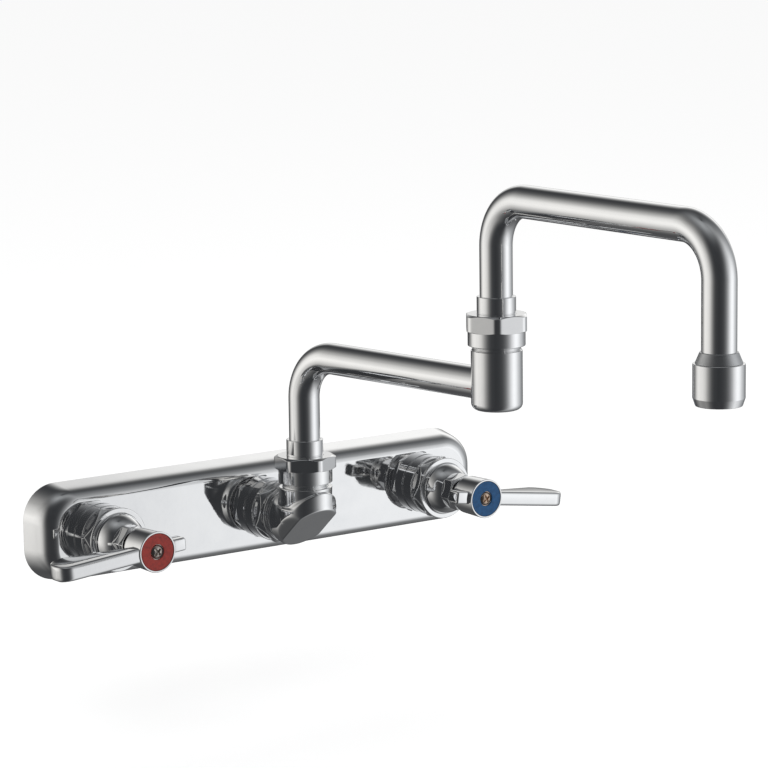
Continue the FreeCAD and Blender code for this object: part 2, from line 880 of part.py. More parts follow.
def make_stem(side, name):
    """Spindle: tang and flange at the discs, seal groove, and a square for the lever."""
    flange_top = stem_foot() + size.stem_flange_height
    groove_foot = stem_groove_foot()
    groove_top = groove_foot + size.stem_groove_width
    body = turned(f"{name}_stem", [
        (0, stem_foot()),
        (size.stem_flange_radius, stem_foot()),
        (size.stem_flange_radius, flange_top),
        (size.stem_radius, flange_top),
        (size.stem_radius, groove_foot),
        (size.stem_groove_radius, groove_foot),
        (size.stem_groove_radius, groove_top),
        (size.stem_radius, groove_top),
        (size.stem_radius, stem_square_foot()),
        (0, stem_square_foot()),
    ])
    square = new_sketch(body, "square", "XY_Plane", stem_square_foot())
    half = size.stem_square / 2
    draw_rectangle(square, -half, half, -half, half)
    pad(body, square, size.stem_square_height)
    tang = new_sketch(body, "tang", "XY_Plane", stem_foot())
    long_half = size.stem_tang_length / 2
    wide_half = size.stem_tang_width / 2
    draw_rectangle(tang, -long_half, long_half, -wide_half, wide_half)
    pad(body, tang, size.stem_tang_depth, backwards=True)
    tap_radius = size.screw_radius + size.thread_gap
    tap_depth = size.screw_length - (screw_seat_height() - stem_top()) + size.face_gap * 2
    bore(body, "tap", "XY_Plane", stem_top(), tap_radius, tap_depth, forwards=False)
    on_valve(body, side, lever_turn(side, name))


def stem_groove_foot():
    return bonnet_top() - size.stem_groove_drop


def make_stem_o_ring(side, name):
    """Rubber ring in the stem's groove."""
    outer = size.stem_radius + size.running_gap
    section = (outer - size.stem_groove_radius) / 2 - size.seal_gap
    middle = (outer + size.stem_groove_radius) / 2
    ring = primitive("Torus", f"{name}_stem_o_ring", Radius1=middle, Radius2=section)
    height = stem_groove_foot() + size.stem_groove_width / 2
    across = size.valve_spacing / 2 * side
    as_node(shifted(ring, across, -height, 0, (1, 0, 0), SQUARE), f"{name}_stem_o_ring")


def thrust_washer_foot():
    return stem_foot() + size.stem_flange_height + size.face_gap


def make_thrust_washer(side, name):
    """Low-friction washer between the stem's flange and the cartridge."""
    foot = thrust_washer_foot()
    top = foot + size.thrust_washer_thickness
    body = turned(f"{name}_thrust_washer", [
        (size.stem_radius + size.face_gap, foot),
        (size.stem_flange_radius, foot),
        (size.stem_flange_radius, top),
        (size.stem_radius + size.face_gap, top),
    ])
    on_valve(body, side)


def packing_foot():
    return bonnet_top() + size.cartridge_neck_height


def packing_nut_top():
    return packing_foot() + size.packing_thickness + size.packing_nut_lid


def make_packing_ring(side, name):
    """Soft ring that the packing nut presses round the stem."""
    top = packing_foot() + size.packing_thickness
    body = turned(f"{name}_packing_ring", [
        (size.stem_radius + size.running_gap, packing_foot()),
        (size.cartridge_neck_radius, packing_foot()),
        (size.cartridge_neck_radius, top),
        (size.stem_radius + size.running_gap, top),
    ])
    on_valve(body, side)


def make_packing_nut(side, name):
    """Small hexagon on the cartridge's neck."""
    corner = hexagon_swing(size.packing_nut_flats)
    foot = bonnet_top()
    top = packing_nut_top()
    lid = packing_foot() + size.packing_thickness
    thread = size.cartridge_neck_radius + size.thread_gap
    body = turned(f"{name}_packing_nut", [
        (thread, foot),
        (corner, foot),
        (corner, top - size.packing_nut_chamfer),
        (corner - size.packing_nut_chamfer * 2, top),
        (size.stem_radius + size.running_gap, top),
        (size.stem_radius + size.running_gap, lid),
        (thread, lid),
    ])
    mill_hexagon(body, size.packing_nut_flats, foot, top - foot, corner + size.bonnet_wall)
    on_valve(body, side, getattr(size, f"{name}_bonnet_turn"))


# ---------------------------------------------------------------- levers

def lever_turn(side, name):
    """Turn about the valve's axis that points the lever outward, drooping a little."""
    droop = getattr(size, f"{name}_lever_droop")
    return -droop if side > 0 else droop + FULL_TURN / 2


def index_floor():
    return size.lever_face_height - size.index_sink - size.index_thickness


def screw_seat_height():
    return index_floor() - size.screw_seat_depth


def draw_blade(sketch):
    """Plan of the arm and its tail, seen along the arm's thickness: (out, height) corners."""
    front = size.lever_face_height - size.lever_front_sink
    tip_back = front - size.lever_tip_width
    root_back = front - size.lever_root_width
    round_out = size.lever_length - size.lever_tip_round
    tail_front = size.lever_face_height - size.tail_front_sink
    tail_back = tail_front - size.tail_width
    back_round = size.lever_length - size.lever_tip_start
    draw_outline(sketch, [
        (-size.tail_length, tail_back),
        (0, tail_back),
        (0, root_back),
        (size.hub_radius, root_back),
        (size.lever_tip_start, tip_back),
        (size.lever_length, tip_back + back_round, back_round),
        (size.lever_length, front - size.lever_tip_round),
        (round_out, front, size.lever_tip_round),
        (0, front),
        (0, tail_front),
        (-size.tail_length, tail_front),
    ])


def make_lever(side, name):
    """Cast lever: hub on the stem's square, flat arm outward, short tail behind."""
    foot = stem_square_foot()
    hub_foot = size.lever_face_height - size.hub_length
    face = size.lever_face_height
    body = new_body(f"{name}_lever")
    blade = new_sketch(body, "blade", "XZ_Plane")
    draw_blade(blade)
    pad(body, blade, size.lever_thickness, both_ways=True)
    hub = new_sketch(body, "hub", "XZ_Plane")
    draw_outline(hub, [
        (0, foot),
        (size.hub_neck_radius, foot),
        (size.hub_neck_radius, hub_foot),
        (size.hub_back_radius, hub_foot),
        (size.hub_radius, face),
        (0, face),
    ])
    revolve(body, hub)
    tail = new_sketch(body, "tail_sides", "XY_Plane", hub_foot)
    half = size.tail_thickness / 2
    outside = size.lever_thickness
    for low, high in ((half, outside), (-outside, -half)):
        draw_rectangle(tail, -size.tail_length * 2, -size.hub_radius, low, high)
    pocket(body, tail, size.hub_length)
    tip_zone = size.hub_radius.number + size.lever_edge_round.number
    half_thick = size.lever_thickness.number / 2
    round_edges(body, size.lever_edge_round, lambda edge: is_blade_edge(edge, tip_zone, half_thick))
    socket = new_sketch(body, "socket", "XY_Plane", foot)
    socket_half = size.stem_square / 2 + size.face_gap
    draw_rectangle(socket, -socket_half, socket_half, -socket_half, socket_half)
    pocket(body, socket, size.stem_square_height + size.face_gap)
    recess = index_floor()
    bore(body, "index_recess", "XY_Plane", recess, size.index_radius + size.face_gap, face - recess)
    screw_seat = screw_seat_height()
    head_radius = size.screw_head_radius + size.face_gap * 2
    bore(body, "screw_head", "XY_Plane", screw_seat, head_radius, size.screw_seat_depth)
    shank_radius = size.screw_radius + size.face_gap * 2
    bore(body, "screw_shank", "XY_Plane", stem_top(), shank_radius, screw_seat - stem_top())
    on_valve(body, side, lever_turn(side, name))


def is_blade_edge(edge, start, half_thickness):
    """True for the long edges of the arm that lie wholly beyond the hub."""
    box = edge.BoundBox
    flat = abs(abs(box.YMin) - half_thickness) < 1e-4 and abs(box.YMax - box.YMin) < 1e-4
    return flat and box.XMax > start and box.XMin > start / 2


def make_index_disc(side, name):
    """Coloured disc that tells hot from cold, bare of any lettering."""
    top = index_floor() + size.index_thickness
    body = turned(f"{name}_index_disc", [
        (size.index_hole_radius, index_floor()),
        (size.index_radius, index_floor()),
        (size.index_radius, top),
        (size.index_hole_radius, top),
    ])
    on_valve(body, side)


def make_lever_screw(side, name):
    """Round-headed cross screw that holds the lever on the stem."""
    seat = screw_seat_height()
    head_top = seat + size.screw_head_height
    shoulder = seat + size.screw_head_height / 2
    tip = seat - size.screw_length
    bow = size.screw_head_radius * 1.6
    body = turned(f"{name}_lever_screw", [
        (0, tip),
        (size.screw_radius, tip),
        (size.screw_radius, seat),
        (size.screw_head_radius, seat),
        (size.screw_head_radius, shoulder),
        (size.screw_head_radius / 2, head_top, bow),
        (0, head_top),
    ])
    cross = new_sketch(body, "cross", "XY_Plane", head_top)
    arm = size.screw_cross_length / 2
    slit = size.screw_cross_width / 2
    draw_outline(cross, [
        (arm, -slit), (arm, slit), (slit, slit), (slit, arm), (-slit, arm), (-slit, slit),
        (-arm, slit), (-arm, -slit), (-slit, -slit), (-slit, -arm), (slit, -arm), (slit, -slit),
    ])
    pocket(body, cross, size.screw_cross_depth, forwards=False)
    on_valve(body, side, lever_turn(side, name))


# ---------------------------------------------------------------- elbow

def elbow_seat():
    """Height above the wall where the elbow's neck meets its nut."""
    return ringed_hexagon(size.body_depth, size.locknut_ring_radius)[2]


def make_elbow_locknut():
    """Ringed hexagon that locks the elbow's thread against the plate."""
    outline, chamfer_end, ring_end = ringed_hexagon(size.body_depth, size.locknut_ring_radius)
    thread = size.elbow_thread_radius + size.thread_gap
    body = turned("elbow_locknut", [
        (thread, size.body_depth),
        *outline,
        (thread, ring_end),
    ])
    mill_ringed_hexagon(body, chamfer_end)
    on_valve(body, 0, size.locknut_turn)


def make_elbow_gasket():
    """Fibre washer let into the plate behind the locknut."""
    foot = size.body_depth - size.elbow_gasket_thickness
    hole = size.elbow_thread_radius + size.face_gap
    body = turned("elbow_gasket", [
        (hole, foot),
        (size.elbow_gasket_radius, foot),
        (size.elbow_gasket_radius, size.body_depth),
        (hole, size.body_depth),
    ])
    shifted(body, 0, 0, 0, (1, 0, 0), SQUARE)


def lying_cylinder(name, radius, start, end):
    """Cylinder along the valve direction, from one height above the wall to another."""
    item = primitive("Cylinder", name, Radius=radius, Height=end - start)
    return shifted(item, 0, -start, 0, (1, 0, 0), SQUARE)


def standing_cylinder(name, radius, start, end):
    """Cylinder on the first swivel's axis."""
    item = primitive("Cylinder", name, Radius=radius, Height=end - start)
    return shifted(item, 0, -size.elbow_reach, start)


def corner_slab(name, distance, side_angle):
    """Block beyond a plane that leans down and forward off the elbow's outer corner."""
    width = size.elbow_barrel_radius * 4
    slab = primitive("Box", name, Length=width, Width=width, Height=width)
    lean = FreeCAD.Rotation(FreeCAD.Vector(1, 0, 0), FULL_TURN / 2 - size.elbow_flat_lean.number)
    outward = lean.multVec(FreeCAD.Vector(0, 0, 1))
    slope = FreeCAD.Vector(1, 0, 0).cross(outward)
    turn = FreeCAD.Rotation(slope, side_angle).multiply(lean)
    outward = turn.multVec(FreeCAD.Vector(0, 0, 1))
    middle = FreeCAD.Vector(0, -size.elbow_reach.number, 0)
    corner = turn.multVec(FreeCAD.Vector(-width.number / 2, -width.number / 2, 0))
    slab.Placement = FreeCAD.Placement(middle + outward * distance.number + corner, turn)
    return slab


def lying_cone(name, small, large, start, length):
    """Cone along the valve direction that widens away from the wall."""
    item = primitive("Cone", name, Radius1=small, Radius2=large, Height=length)
    return shifted(item, 0, -start, 0, (1, 0, 0), SQUARE)


def make_elbow_corner():
    """Barrel from the neck to the riser, rounded to the riser's own radius in front."""
    radius = size.elbow_barrel_radius
    start = size.elbow_reach - size.elbow_barrel_start
    front = doc.addObject("Part::MultiCommon", "elbow_front")
    front.Shapes = [
        lying_cylinder("elbow_front_along", radius, size.elbow_reach, size.elbow_reach + radius),
        standing_cylinder("elbow_front_up", size.elbow_collar_radius, -radius, radius),
    ]
    ring_radius = size.elbow_collar_radius - size.elbow_collar_round
    ring_height = size.elbow_collar_top - size.elbow_collar_round
    collar = primitive("Torus", "elbow_collar_edge", Radius1=ring_radius, Radius2=size.elbow_collar_round)
    return [
        lying_cone("elbow_shoulder", size.elbow_neck_radius, radius, start - size.elbow_shoulder, size.elbow_shoulder),
        lying_cylinder("elbow_barrel", radius, start, size.elbow_reach),
        front,
        standing_cylinder("elbow_collar", size.elbow_collar_radius, 0, ring_height),
        shifted(collar, 0, -size.elbow_reach, ring_height),
    ]


def make_spout_elbow():
    """Elbow from the plate up to the first swivel, with a flat on its outer corner."""
    thread_top = size.socket_top + size.socket_thread_height
    outside = fused("elbow_outside", [
        lying_cylinder("elbow_tail", size.elbow_thread_radius, outlet_thread_floor(), elbow_seat()),
        lying_cylinder("elbow_neck", size.elbow_neck_radius, elbow_seat(), size.elbow_reach),
        *make_elbow_corner(),
        standing_cylinder("elbow_socket", size.socket_radius, 0, size.socket_top),
        standing_cylinder("elbow_socket_thread", size.socket_thread_radius, size.socket_top, thread_top),
    ])
    bore_floor = thread_top - size.socket_bore_depth
    hollow = fused("elbow_hollow", [
        corner_slab("elbow_flat", size.elbow_flat_distance, 0),
        corner_slab("elbow_left_bevel", size.elbow_bevel_distance, size.elbow_bevel_angle.number),
        corner_slab("elbow_right_bevel", size.elbow_bevel_distance, -size.elbow_bevel_angle.number),
        lying_cylinder("elbow_water_in", size.elbow_water_radius, outlet_thread_floor(), size.elbow_reach),
        standing_cylinder("elbow_water_up", size.elbow_water_radius, 0, thread_top),
        standing_cylinder("elbow_socket_bore", size.socket_bore_radius, bore_floor, thread_top),
    ])
    as_node(cut("spout_elbow_part", outside, hollow), "spout_elbow")


# ---------------------------------------------------------------- swivel joints

def nut_top(socket_top, hex_height):
    return socket_top + size.nut_lift + size.nut_skirt_height + hex_height


def make_joint_nut(label, socket_top, hex_height):
    """Swivel nut: round skirt below, hexagon above, and a lid round the sleeve."""
    foot = socket_top + size.nut_lift
    hex_foot = foot + size.nut_skirt_height
    top = nut_top(socket_top, hex_height)
    thread = size.socket_thread_radius + size.thread_gap
    lid = top - size.nut_lid
    hole = size.sleeve_radius + size.running_gap
    body = turned(label, [
        (thread, foot),
        (size.nut_skirt_radius, foot),
        (size.nut_skirt_radius, hex_foot),
        (size.nut_corner_radius, hex_foot),
        (size.nut_corner_radius, top - size.nut_chamfer),
        (size.nut_corner_radius - size.nut_chamfer * 2, top),
        (hole, top),
        (hole, lid),
        (thread, lid),
    ])
    swing = size.nut_corner_radius + size.nut_lid
    mill_hexagon(body, size.nut_flats, hex_foot, hex_height, swing)
    return body


def split_ring_heights(socket_top, hex_height):
    """Foot and top of the split ring, trapped between the socket and the nut's lid."""
    top = nut_top(socket_top, hex_height) - size.nut_lid - size.face_gap
    foot = socket_top + size.socket_thread_height + size.face_gap
    return foot, top


def o_ring_heights(socket_top):
    """Middles of the two seals on the sleeve's spigot."""
    upper = socket_top + size.socket_thread_height - size.o_ring_pitch
    return upper, upper - size.o_ring_pitch


def make_joint_sleeve(label, socket_top, hex_height):
    """Brass end brazed on the tube: spigot with two seal grooves, ring groove, shoulder."""
    spigot = size.socket_bore_radius - size.running_gap
    foot = socket_top + size.socket_thread_height - size.sleeve_spigot_length
    ring_foot, ring_top = split_ring_heights(socket_top, hex_height)
    groove_foot = ring_foot - size.face_gap
    groove_top = ring_top + size.face_gap
    top = nut_top(socket_top, hex_height) + size.sleeve_show
    stop = tube_stop(socket_top, hex_height)
    seat = size.tube_radius + size.tube_gap
    outline = [(size.sleeve_water_radius, foot), (spigot, foot)]
    for middle in reversed(o_ring_heights(socket_top)):
        low = middle - size.o_ring_groove_width / 2
        high = middle + size.o_ring_groove_width / 2
        groove = size.o_ring_groove_radius
        outline += [(spigot, low), (groove, low), (groove, high), (spigot, high)]
    outline += [
        (spigot, groove_foot),
        (size.split_ring_groove_radius, groove_foot),
        (size.split_ring_groove_radius, groove_top),
        (size.sleeve_radius, groove_top),
        (size.sleeve_radius, top),
        (seat, top),
        (seat, stop),
        (size.sleeve_water_radius, stop),
    ]
    return turned(label, outline)


def tube_stop(socket_top, hex_height):
    """Height of the step inside the sleeve that the tube's end rests on."""
    return split_ring_heights(socket_top, hex_height)[1] + size.sleeve_tube_stop


def make_split_ring(label, socket_top, hex_height):
    """Open ring that carries the spout in the nut."""
    foot, top = split_ring_heights(socket_top, hex_height)
    body = turned(label, [
        (size.split_ring_groove_radius + size.running_gap, foot),
        (size.split_ring_radius, foot),
        (size.split_ring_radius, top),
        (size.split_ring_groove_radius + size.running_gap, top),
    ])
    gap = new_sketch(body, "gap", "XY_Plane", foot)
    half = size.split_ring_gap / 2
    draw_rectangle(gap, 0, size.split_ring_radius * 2, -half, half)
    pocket(body, gap, top - foot)
    return body


def make_o_rings(label, socket_top, place):
    """Two rubber rings on the sleeve's spigot, kept as two separate solids."""
    section = (size.socket_bore_radius - size.o_ring_groove_radius) / 2 - size.seal_gap
    middle = (size.socket_bore_radius + size.o_ring_groove_radius) / 2
    rings = []
    for index, height in enumerate(o_ring_heights(socket_top)):
        ring = primitive("Torus", f"{label}_{index}", Radius1=middle, Radius2=section)
        rings.append(shifted(ring, 0, 0, height))
    group = doc.addObject("Part::Compound", f"{label}_group")
    group.Links = rings
    place(as_node(group, label))


def make_swivel(label, socket_top, hex_height, nut_turn, place):
    """The nut, sleeve, split ring and seals of one swivel."""
    place(make_joint_nut(f"{label}_nut", socket_top, hex_height), nut_turn)
    place(make_joint_sleeve(f"{label}_sleeve", socket_top, hex_height))
    place(make_split_ring(f"{label}_split_ring", socket_top, hex_height))
    make_o_rings(f"{label}_o_rings", socket_top, place)


def make_joint_2_body():
    """Closed cup on the end of the first arm, with the second swivel's socket on top."""
    thread_top = size.joint_2_body_top + size.socket_thread_height
    bore_floor = thread_top - size.socket_bore_depth
    bottom = size.joint_2_body_bottom
    round_radius = size.joint_2_bottom_round
    body = turned("joint_2_body", [
        (0, bottom),
        (size.joint_2_body_radius - round_radius, bottom),
        (size.joint_2_body_radius, bottom + round_radius, round_radius),
        (size.joint_2_body_radius, size.joint_2_body_top),
        (size.socket_thread_radius, size.joint_2_body_top),
        (size.socket_thread_radius, thread_top),
        (size.socket_bore_radius, thread_top),
        (size.socket_bore_radius, bore_floor),
        (size.joint_2_chamber_radius, bore_floor),
        (size.joint_2_chamber_radius, size.joint_2_chamber_floor),
        (0, size.joint_2_chamber_floor),
    ])
    side_plane = -size.arm_1_tube_stop
    seat = size.tube_radius + size.tube_gap
    reach = size.joint_2_body_radius
    bore(body, "tube_seat", "XZ_Plane", side_plane, seat, reach, 0, size.arm_1_height, forwards=False)
    water = size.tube_radius - size.tube_wall
    bore(body, "water", "XZ_Plane", side_plane, water, size.arm_1_tube_stop, 0, size.arm_1_height)
    on_joint_2(body, size.arm_1_turn)


# ---------------------------------------------------------------- spout tubes

def make_tube(label, path_corners, start):
    """Round tube along a path in the arm's own upright plane."""
    body = new_body(label)
    path = new_sketch(body, "path", "YZ_Plane")
    draw_outline(path, path_corners, closed=False)
    section = new_sketch(body, "section", "XY_Plane", start)
    draw_circle(section, size.tube_radius)
    draw_circle(section, size.tube_radius - size.tube_wall)
    feature = body.newObject("PartDesign::AdditivePipe", f"{label}_pipe")
    feature.Profile = section
    feature.Spine = (path, [])
    return body


def make_arm_1_tube():
    start = tube_stop(size.socket_top, size.joint_1_hex_height)
    bend = size.arm_1_bend_radius
    end = size.arm_1_reach - size.arm_1_tube_stop
    tube = make_tube("arm_1_tube", [
        (0, start),
        (0, size.arm_1_height - bend),
        (-bend, size.arm_1_height, bend),
        (-end, size.arm_1_height),
    ], start)
    on_joint_1(tube)


def make_arm_2_tube():
    start = tube_stop(size.joint_2_body_top, size.joint_2_hex_height)
    rise = size.arm_2_rise_bend_radius
    fall = size.arm_2_fall_bend_radius
    tube = make_tube("arm_2_tube", [
        (0, start),
        (0, size.arm_2_height - rise),
        (-rise, size.arm_2_height, rise),
        (fall - size.arm_2_reach, size.arm_2_height),
        (-size.arm_2_reach, size.arm_2_height - fall, fall),
        (-size.arm_2_reach, adapter_tube_end()),
    ], start)
    on_joint_2(tube)


# ---------------------------------------------------------------- outlet

def housing_top():
    return size.outlet_bottom + size.housing_height


def adapter_tube_end():
    """Height of the step in the adapter that the second tube rests on."""
    return housing_top() + size.adapter_cone_height - size.adapter_tube_depth


def insert_rim_foot():
    return size.outlet_bottom + size.housing_step_height


def insert_rim_top():
    return insert_rim_foot() + size.insert_rim_height


def make_outlet_adapter():
    """Cone brazed on the second tube, threaded for the aerator."""
    top = housing_top() + size.adapter_cone_height
    foot = insert_rim_top() + size.washer_thickness
    seat = size.tube_radius + size.tube_gap
    body = turned("outlet_adapter", [
        (size.adapter_water_radius, foot),
        (size.adapter_thread_radius, foot),
        (size.adapter_thread_radius, housing_top()),
        (size.adapter_cone_radius, housing_top()),
        (size.adapter_cone_top_radius, top),
        (seat, top),
        (seat, adapter_tube_end()),
        (size.adapter_water_radius, adapter_tube_end()),
    ])
    on_outlet(body)


def make_aerator_housing():
    """Round housing with a chamfered mouth."""
    bottom = size.outlet_bottom
    thread = size.adapter_thread_radius + size.thread_gap
    body = turned("aerator_housing", [
        (size.housing_mouth_radius, bottom),
        (size.housing_mouth_outer, bottom),
        (size.housing_radius, bottom + size.housing_chamfer_height),
        (size.housing_radius, housing_top()),
        (thread, housing_top()),
        (thread, insert_rim_foot()),
        (size.housing_bore_radius, insert_rim_foot()),
        (size.housing_bore_radius, bottom + size.housing_lip),
        (size.housing_mouth_radius, bottom + size.housing_lip),
    ])
    on_outlet(body)


def make_aerator_washer():
    """Rubber washer between the adapter and the insert's rim."""
    top = insert_rim_top() + size.washer_thickness
    body = turned("aerator_washer", [
        (size.washer_hole_radius, insert_rim_top()),
        (size.adapter_thread_radius, insert_rim_top()),
        (size.adapter_thread_radius, top),
        (size.washer_hole_radius, top),
    ])
    on_outlet(body)


def make_aerator_insert():
    """Cup with a rim and a perforated floor."""
    foot = size.outlet_bottom + size.housing_lip + size.face_gap
    outer = size.housing_bore_radius - size.face_gap
    inner = outer - size.insert_wall
    floor_top = foot + size.insert_floor
    body = turned("aerator_insert", [
        (0, foot),
        (outer, foot),
        (outer, insert_rim_foot()),
        (size.adapter_thread_radius, insert_rim_foot()),
        (size.adapter_thread_radius, insert_rim_top()),
        (inner, insert_rim_top()),
        (inner, floor_top),
        (0, floor_top),
    ])
    holes = new_sketch(body, "holes", "XY_Plane", foot)
    draw_circle(holes, size.insert_hole_radius)
    for ring, count in ((size.insert_ring_1_radius, HEX_SIDES), (size.insert_ring_2_radius, 2 * HEX_SIDES)):
        for index in range(count):
            angle = FULL_TURN / count * index
            draw_circle(holes, size.insert_hole_radius, ring * cosine(angle), ring * sine(angle))
    pocket(body, holes, size.insert_floor)
    on_outlet(body)


# ---------------------------------------------------------------- assembly

def make_valve(side, name):
    """Every piece of one valve; side is -1 on the left and +1 on the right."""
    make_bonnet(side, name)
    make_bonnet_gasket(side, name)
    make_cartridge(side, name)
    make_discs(side, name)
    make_seat_washer(side, name)
    make_stem(side, name)
    make_stem_o_ring(side, name)
    make_thrust_washer(side, name)
    make_packing_ring(side, name)
    make_packing_nut(side, name)
    make_lever(side, name)
    make_index_disc(side, name)
    make_lever_screw(side, name)


def make_spout():
    """Elbow, both swivels, both arms and the outlet."""
    make_elbow_locknut()
    make_elbow_gasket()
    make_spout_elbow()
    make_swivel("joint_1", size.socket_top, size.joint_1_hex_height, size.joint_1_nut_turn, on_joint_1)
    make_arm_1_tube()
    make_joint_2_body()
    make_swivel("joint_2", size.joint_2_body_top, size.joint_2_hex_height, size.joint_2_nut_turn, on_joint_2)
    make_arm_2_tube()
    make_outlet_adapter()
    make_aerator_housing()
    make_aerator_washer()
    make_aerator_insert()


def check_document():
    """Stop if any object failed or any node is empty or broken."""
    for item in doc.Objects:
        if "Invalid" in item.State or "Error" in item.State:
            raise RuntimeError(f"{item.Label} did not compute: {item.State}")
    for node in nodes:
        if node.Shape.isNull() or not node.Shape.isValid() or not node.Shape.Solids:
            raise RuntimeError(f"{node.Label} has no sound solid")


def write_nodes():
    os.makedirs("parts", exist_ok=True)
    for node in nodes:
        node.Shape.exportStep(f"parts/{node.Label}.step")
        volume = sum(solid.Volume for solid in node.Shape.Solids)
        print(f"{node.Label}: {len(node.Shape.Solids)} solid, {volume:.1f} mm3")


make_valve_body()
make_valve(-1, "hot")
make_valve(1, "cold")
make_spout()
doc.recompute()
check_document()
write_nodes()
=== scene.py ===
"""Looks of a chromed wall faucet with two lever valves and a double-jointed swing spout.

Lengths are in millimetres until a mesh is made, which is in metres.  The frame is the
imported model's: +X to the right, +Y into the wall, +Z up, the origin on the wall.
"""
import json
import logging
import math
from dataclasses import dataclass, field
from enum import Enum

import bmesh
import bpy
import numpy as np
from mathutils import Matrix


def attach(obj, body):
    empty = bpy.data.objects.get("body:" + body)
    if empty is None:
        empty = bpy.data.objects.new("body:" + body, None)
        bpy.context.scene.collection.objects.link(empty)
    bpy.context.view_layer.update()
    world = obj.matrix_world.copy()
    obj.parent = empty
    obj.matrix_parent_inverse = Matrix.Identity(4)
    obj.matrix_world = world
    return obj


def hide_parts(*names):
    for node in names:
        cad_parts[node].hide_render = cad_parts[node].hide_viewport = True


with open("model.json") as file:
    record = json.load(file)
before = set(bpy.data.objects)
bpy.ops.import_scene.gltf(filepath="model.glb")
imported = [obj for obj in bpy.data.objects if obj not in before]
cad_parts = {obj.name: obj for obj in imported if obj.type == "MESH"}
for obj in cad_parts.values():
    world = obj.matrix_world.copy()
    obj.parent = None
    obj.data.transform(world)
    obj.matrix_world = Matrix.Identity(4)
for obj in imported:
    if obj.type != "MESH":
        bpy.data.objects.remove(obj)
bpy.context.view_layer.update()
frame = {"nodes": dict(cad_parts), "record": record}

log = logging.getLogger("faucet")

MM = 0.001
MERGE = 1e-6
MASK_GAIN = 4.0
FRAME_WIDTH = 768
VALVE_SPACING = 203.2
ARM_TURN = 7.15
FAR = 60.0
CORNER_SOFTNESS = 0.12
CHAMFER_SOFTNESS = 0.1
HEIGHT_SLACK = 1e-6


# ------------------------------------------------------------------ numpy surfaces

def soft_min(first: np.ndarray, second: np.ndarray, width: float) -> np.ndarray:
    """The lesser of two values, with a rounded change-over.

    Formula: minus width times the log of the sum of exp(-value / width).

    Args:
        first, second: Values to compare.
        width: Size of the rounding.

    Returns:
        The rounded minimum.
    """
    return -width * np.logaddexp(-first / width, -second / width)


def soft_max(first: np.ndarray, second: np.ndarray, width: float) -> np.ndarray:
    """The greater of two values, with a rounded change-over; see soft_min."""
    return -soft_min(-first, -second, width)


def arc(start: tuple[float, float], end: tuple[float, float], radius: float, steps: int = 16) -> list:
    """Points of an arc that bows to the right of the way from start to end.

    Formula: the centre lies to the left of the chord's middle, at the root of radius
    squared less half the chord squared, and the points turn evenly about it.

    Args:
        start, end: First and last point.
        radius: Radius of the arc.
        steps: Number of spans.

    Returns:
        Corners (across, up, 0) from start to end.
    """
    first, last = np.array(start, float), np.array(end, float)
    chord = last - first
    half = np.linalg.norm(chord) / 2
    left = np.array([-chord[1], chord[0]]) / (2 * half)
    centre = (first + last) / 2 + left * math.sqrt(radius ** 2 - half ** 2)
    turn = 2 * math.asin(half / radius)
    begin = math.atan2(first[1] - centre[1], first[0] - centre[0])
    angles = begin + np.linspace(0, turn, steps + 1)
    points = centre + radius * np.stack([np.cos(angles), np.sin(angles)], axis=1)
    return [(x, y, 0.0) for x, y in points]


def half_angle(back: np.ndarray, ahead: np.ndarray) -> float:
    """Half the inner angle of a corner, from the unit vectors along its two sides."""
    return math.acos(float(np.clip(back @ ahead, -1, 1))) / 2


def corner_arc(point: np.ndarray, sides: tuple[np.ndarray, np.ndarray], reach: float,
               margin: float, steps: int) -> list[np.ndarray]:
    """Arc in the place of a corner, with a support point beyond each end.

    Formula: the centre lies on the corner's middle line at reach / cos(h), where 2h is the
    inner angle, and the points are the spherical blend of the two spokes from it.

    Args:
        point: The corner.
        sides: Unit vectors back and ahead along its sides.
        reach: Distance from the corner to each end of the arc.
        margin: Distance from each end to its support point.
        steps: Spans in the arc.

    Returns:
        The support points and the arc, in order.
    """
    back, ahead = sides
    half = half_angle(back, ahead)
    sweep = math.pi - 2 * half
    middle = (back + ahead) / np.linalg.norm(back + ahead)
    centre = point + middle * reach / math.cos(half)
    spokes = point + back * reach - centre, point + ahead * reach - centre
    part = np.linspace(0, 1, steps + 1)[:, None]
    blend = np.sin((1 - part) * sweep) * spokes[0] + np.sin(part * sweep) * spokes[1]
    curve = centre + blend / math.sin(sweep)
    return [curve[:1] + back * margin, curve, curve[-1:] + ahead * margin]


def rounded(corners: list, closed: bool = True, steps: int = 5) -> np.ndarray:
    """Outline whose corners are broken by small arcs, with a support point on each side.

    Formula: an arc of radius r at a corner of inner angle 2h starts r / tan(h) from the
    corner, or at 0.42 of the shorter side if that is less.

    Args:
        corners: Rows of (across, up, radius).
        closed: Whether the last corner joins the first.
        steps: Spans in each arc.

    Returns:
        Points, one row of (across, up) each.
    """
    points = np.array([corner[:2] for corner in corners], float)
    count = len(points)
    rows = []
    for index, (point, corner) in enumerate(zip(points, corners)):
        inner = closed or 0 < index < count - 1
        if corner[2] <= 0 or not inner:
            rows.append(point[None])
            continue
        back = points[index - 1] - point
        ahead = points[(index + 1) % count] - point
        lengths = np.linalg.norm(back), np.linalg.norm(ahead)
        back, ahead = back / lengths[0], ahead / lengths[1]
        half = half_angle(back, ahead)
        if math.pi - 2 * half < 0.02:
            rows.append(point[None])
            continue
        reach = min(corner[2] / math.tan(half), 0.42 * min(lengths))
        rows += corner_arc(point, (back, ahead), reach, min(0.1, 0.2 * reach), steps)
    return np.vstack(rows)


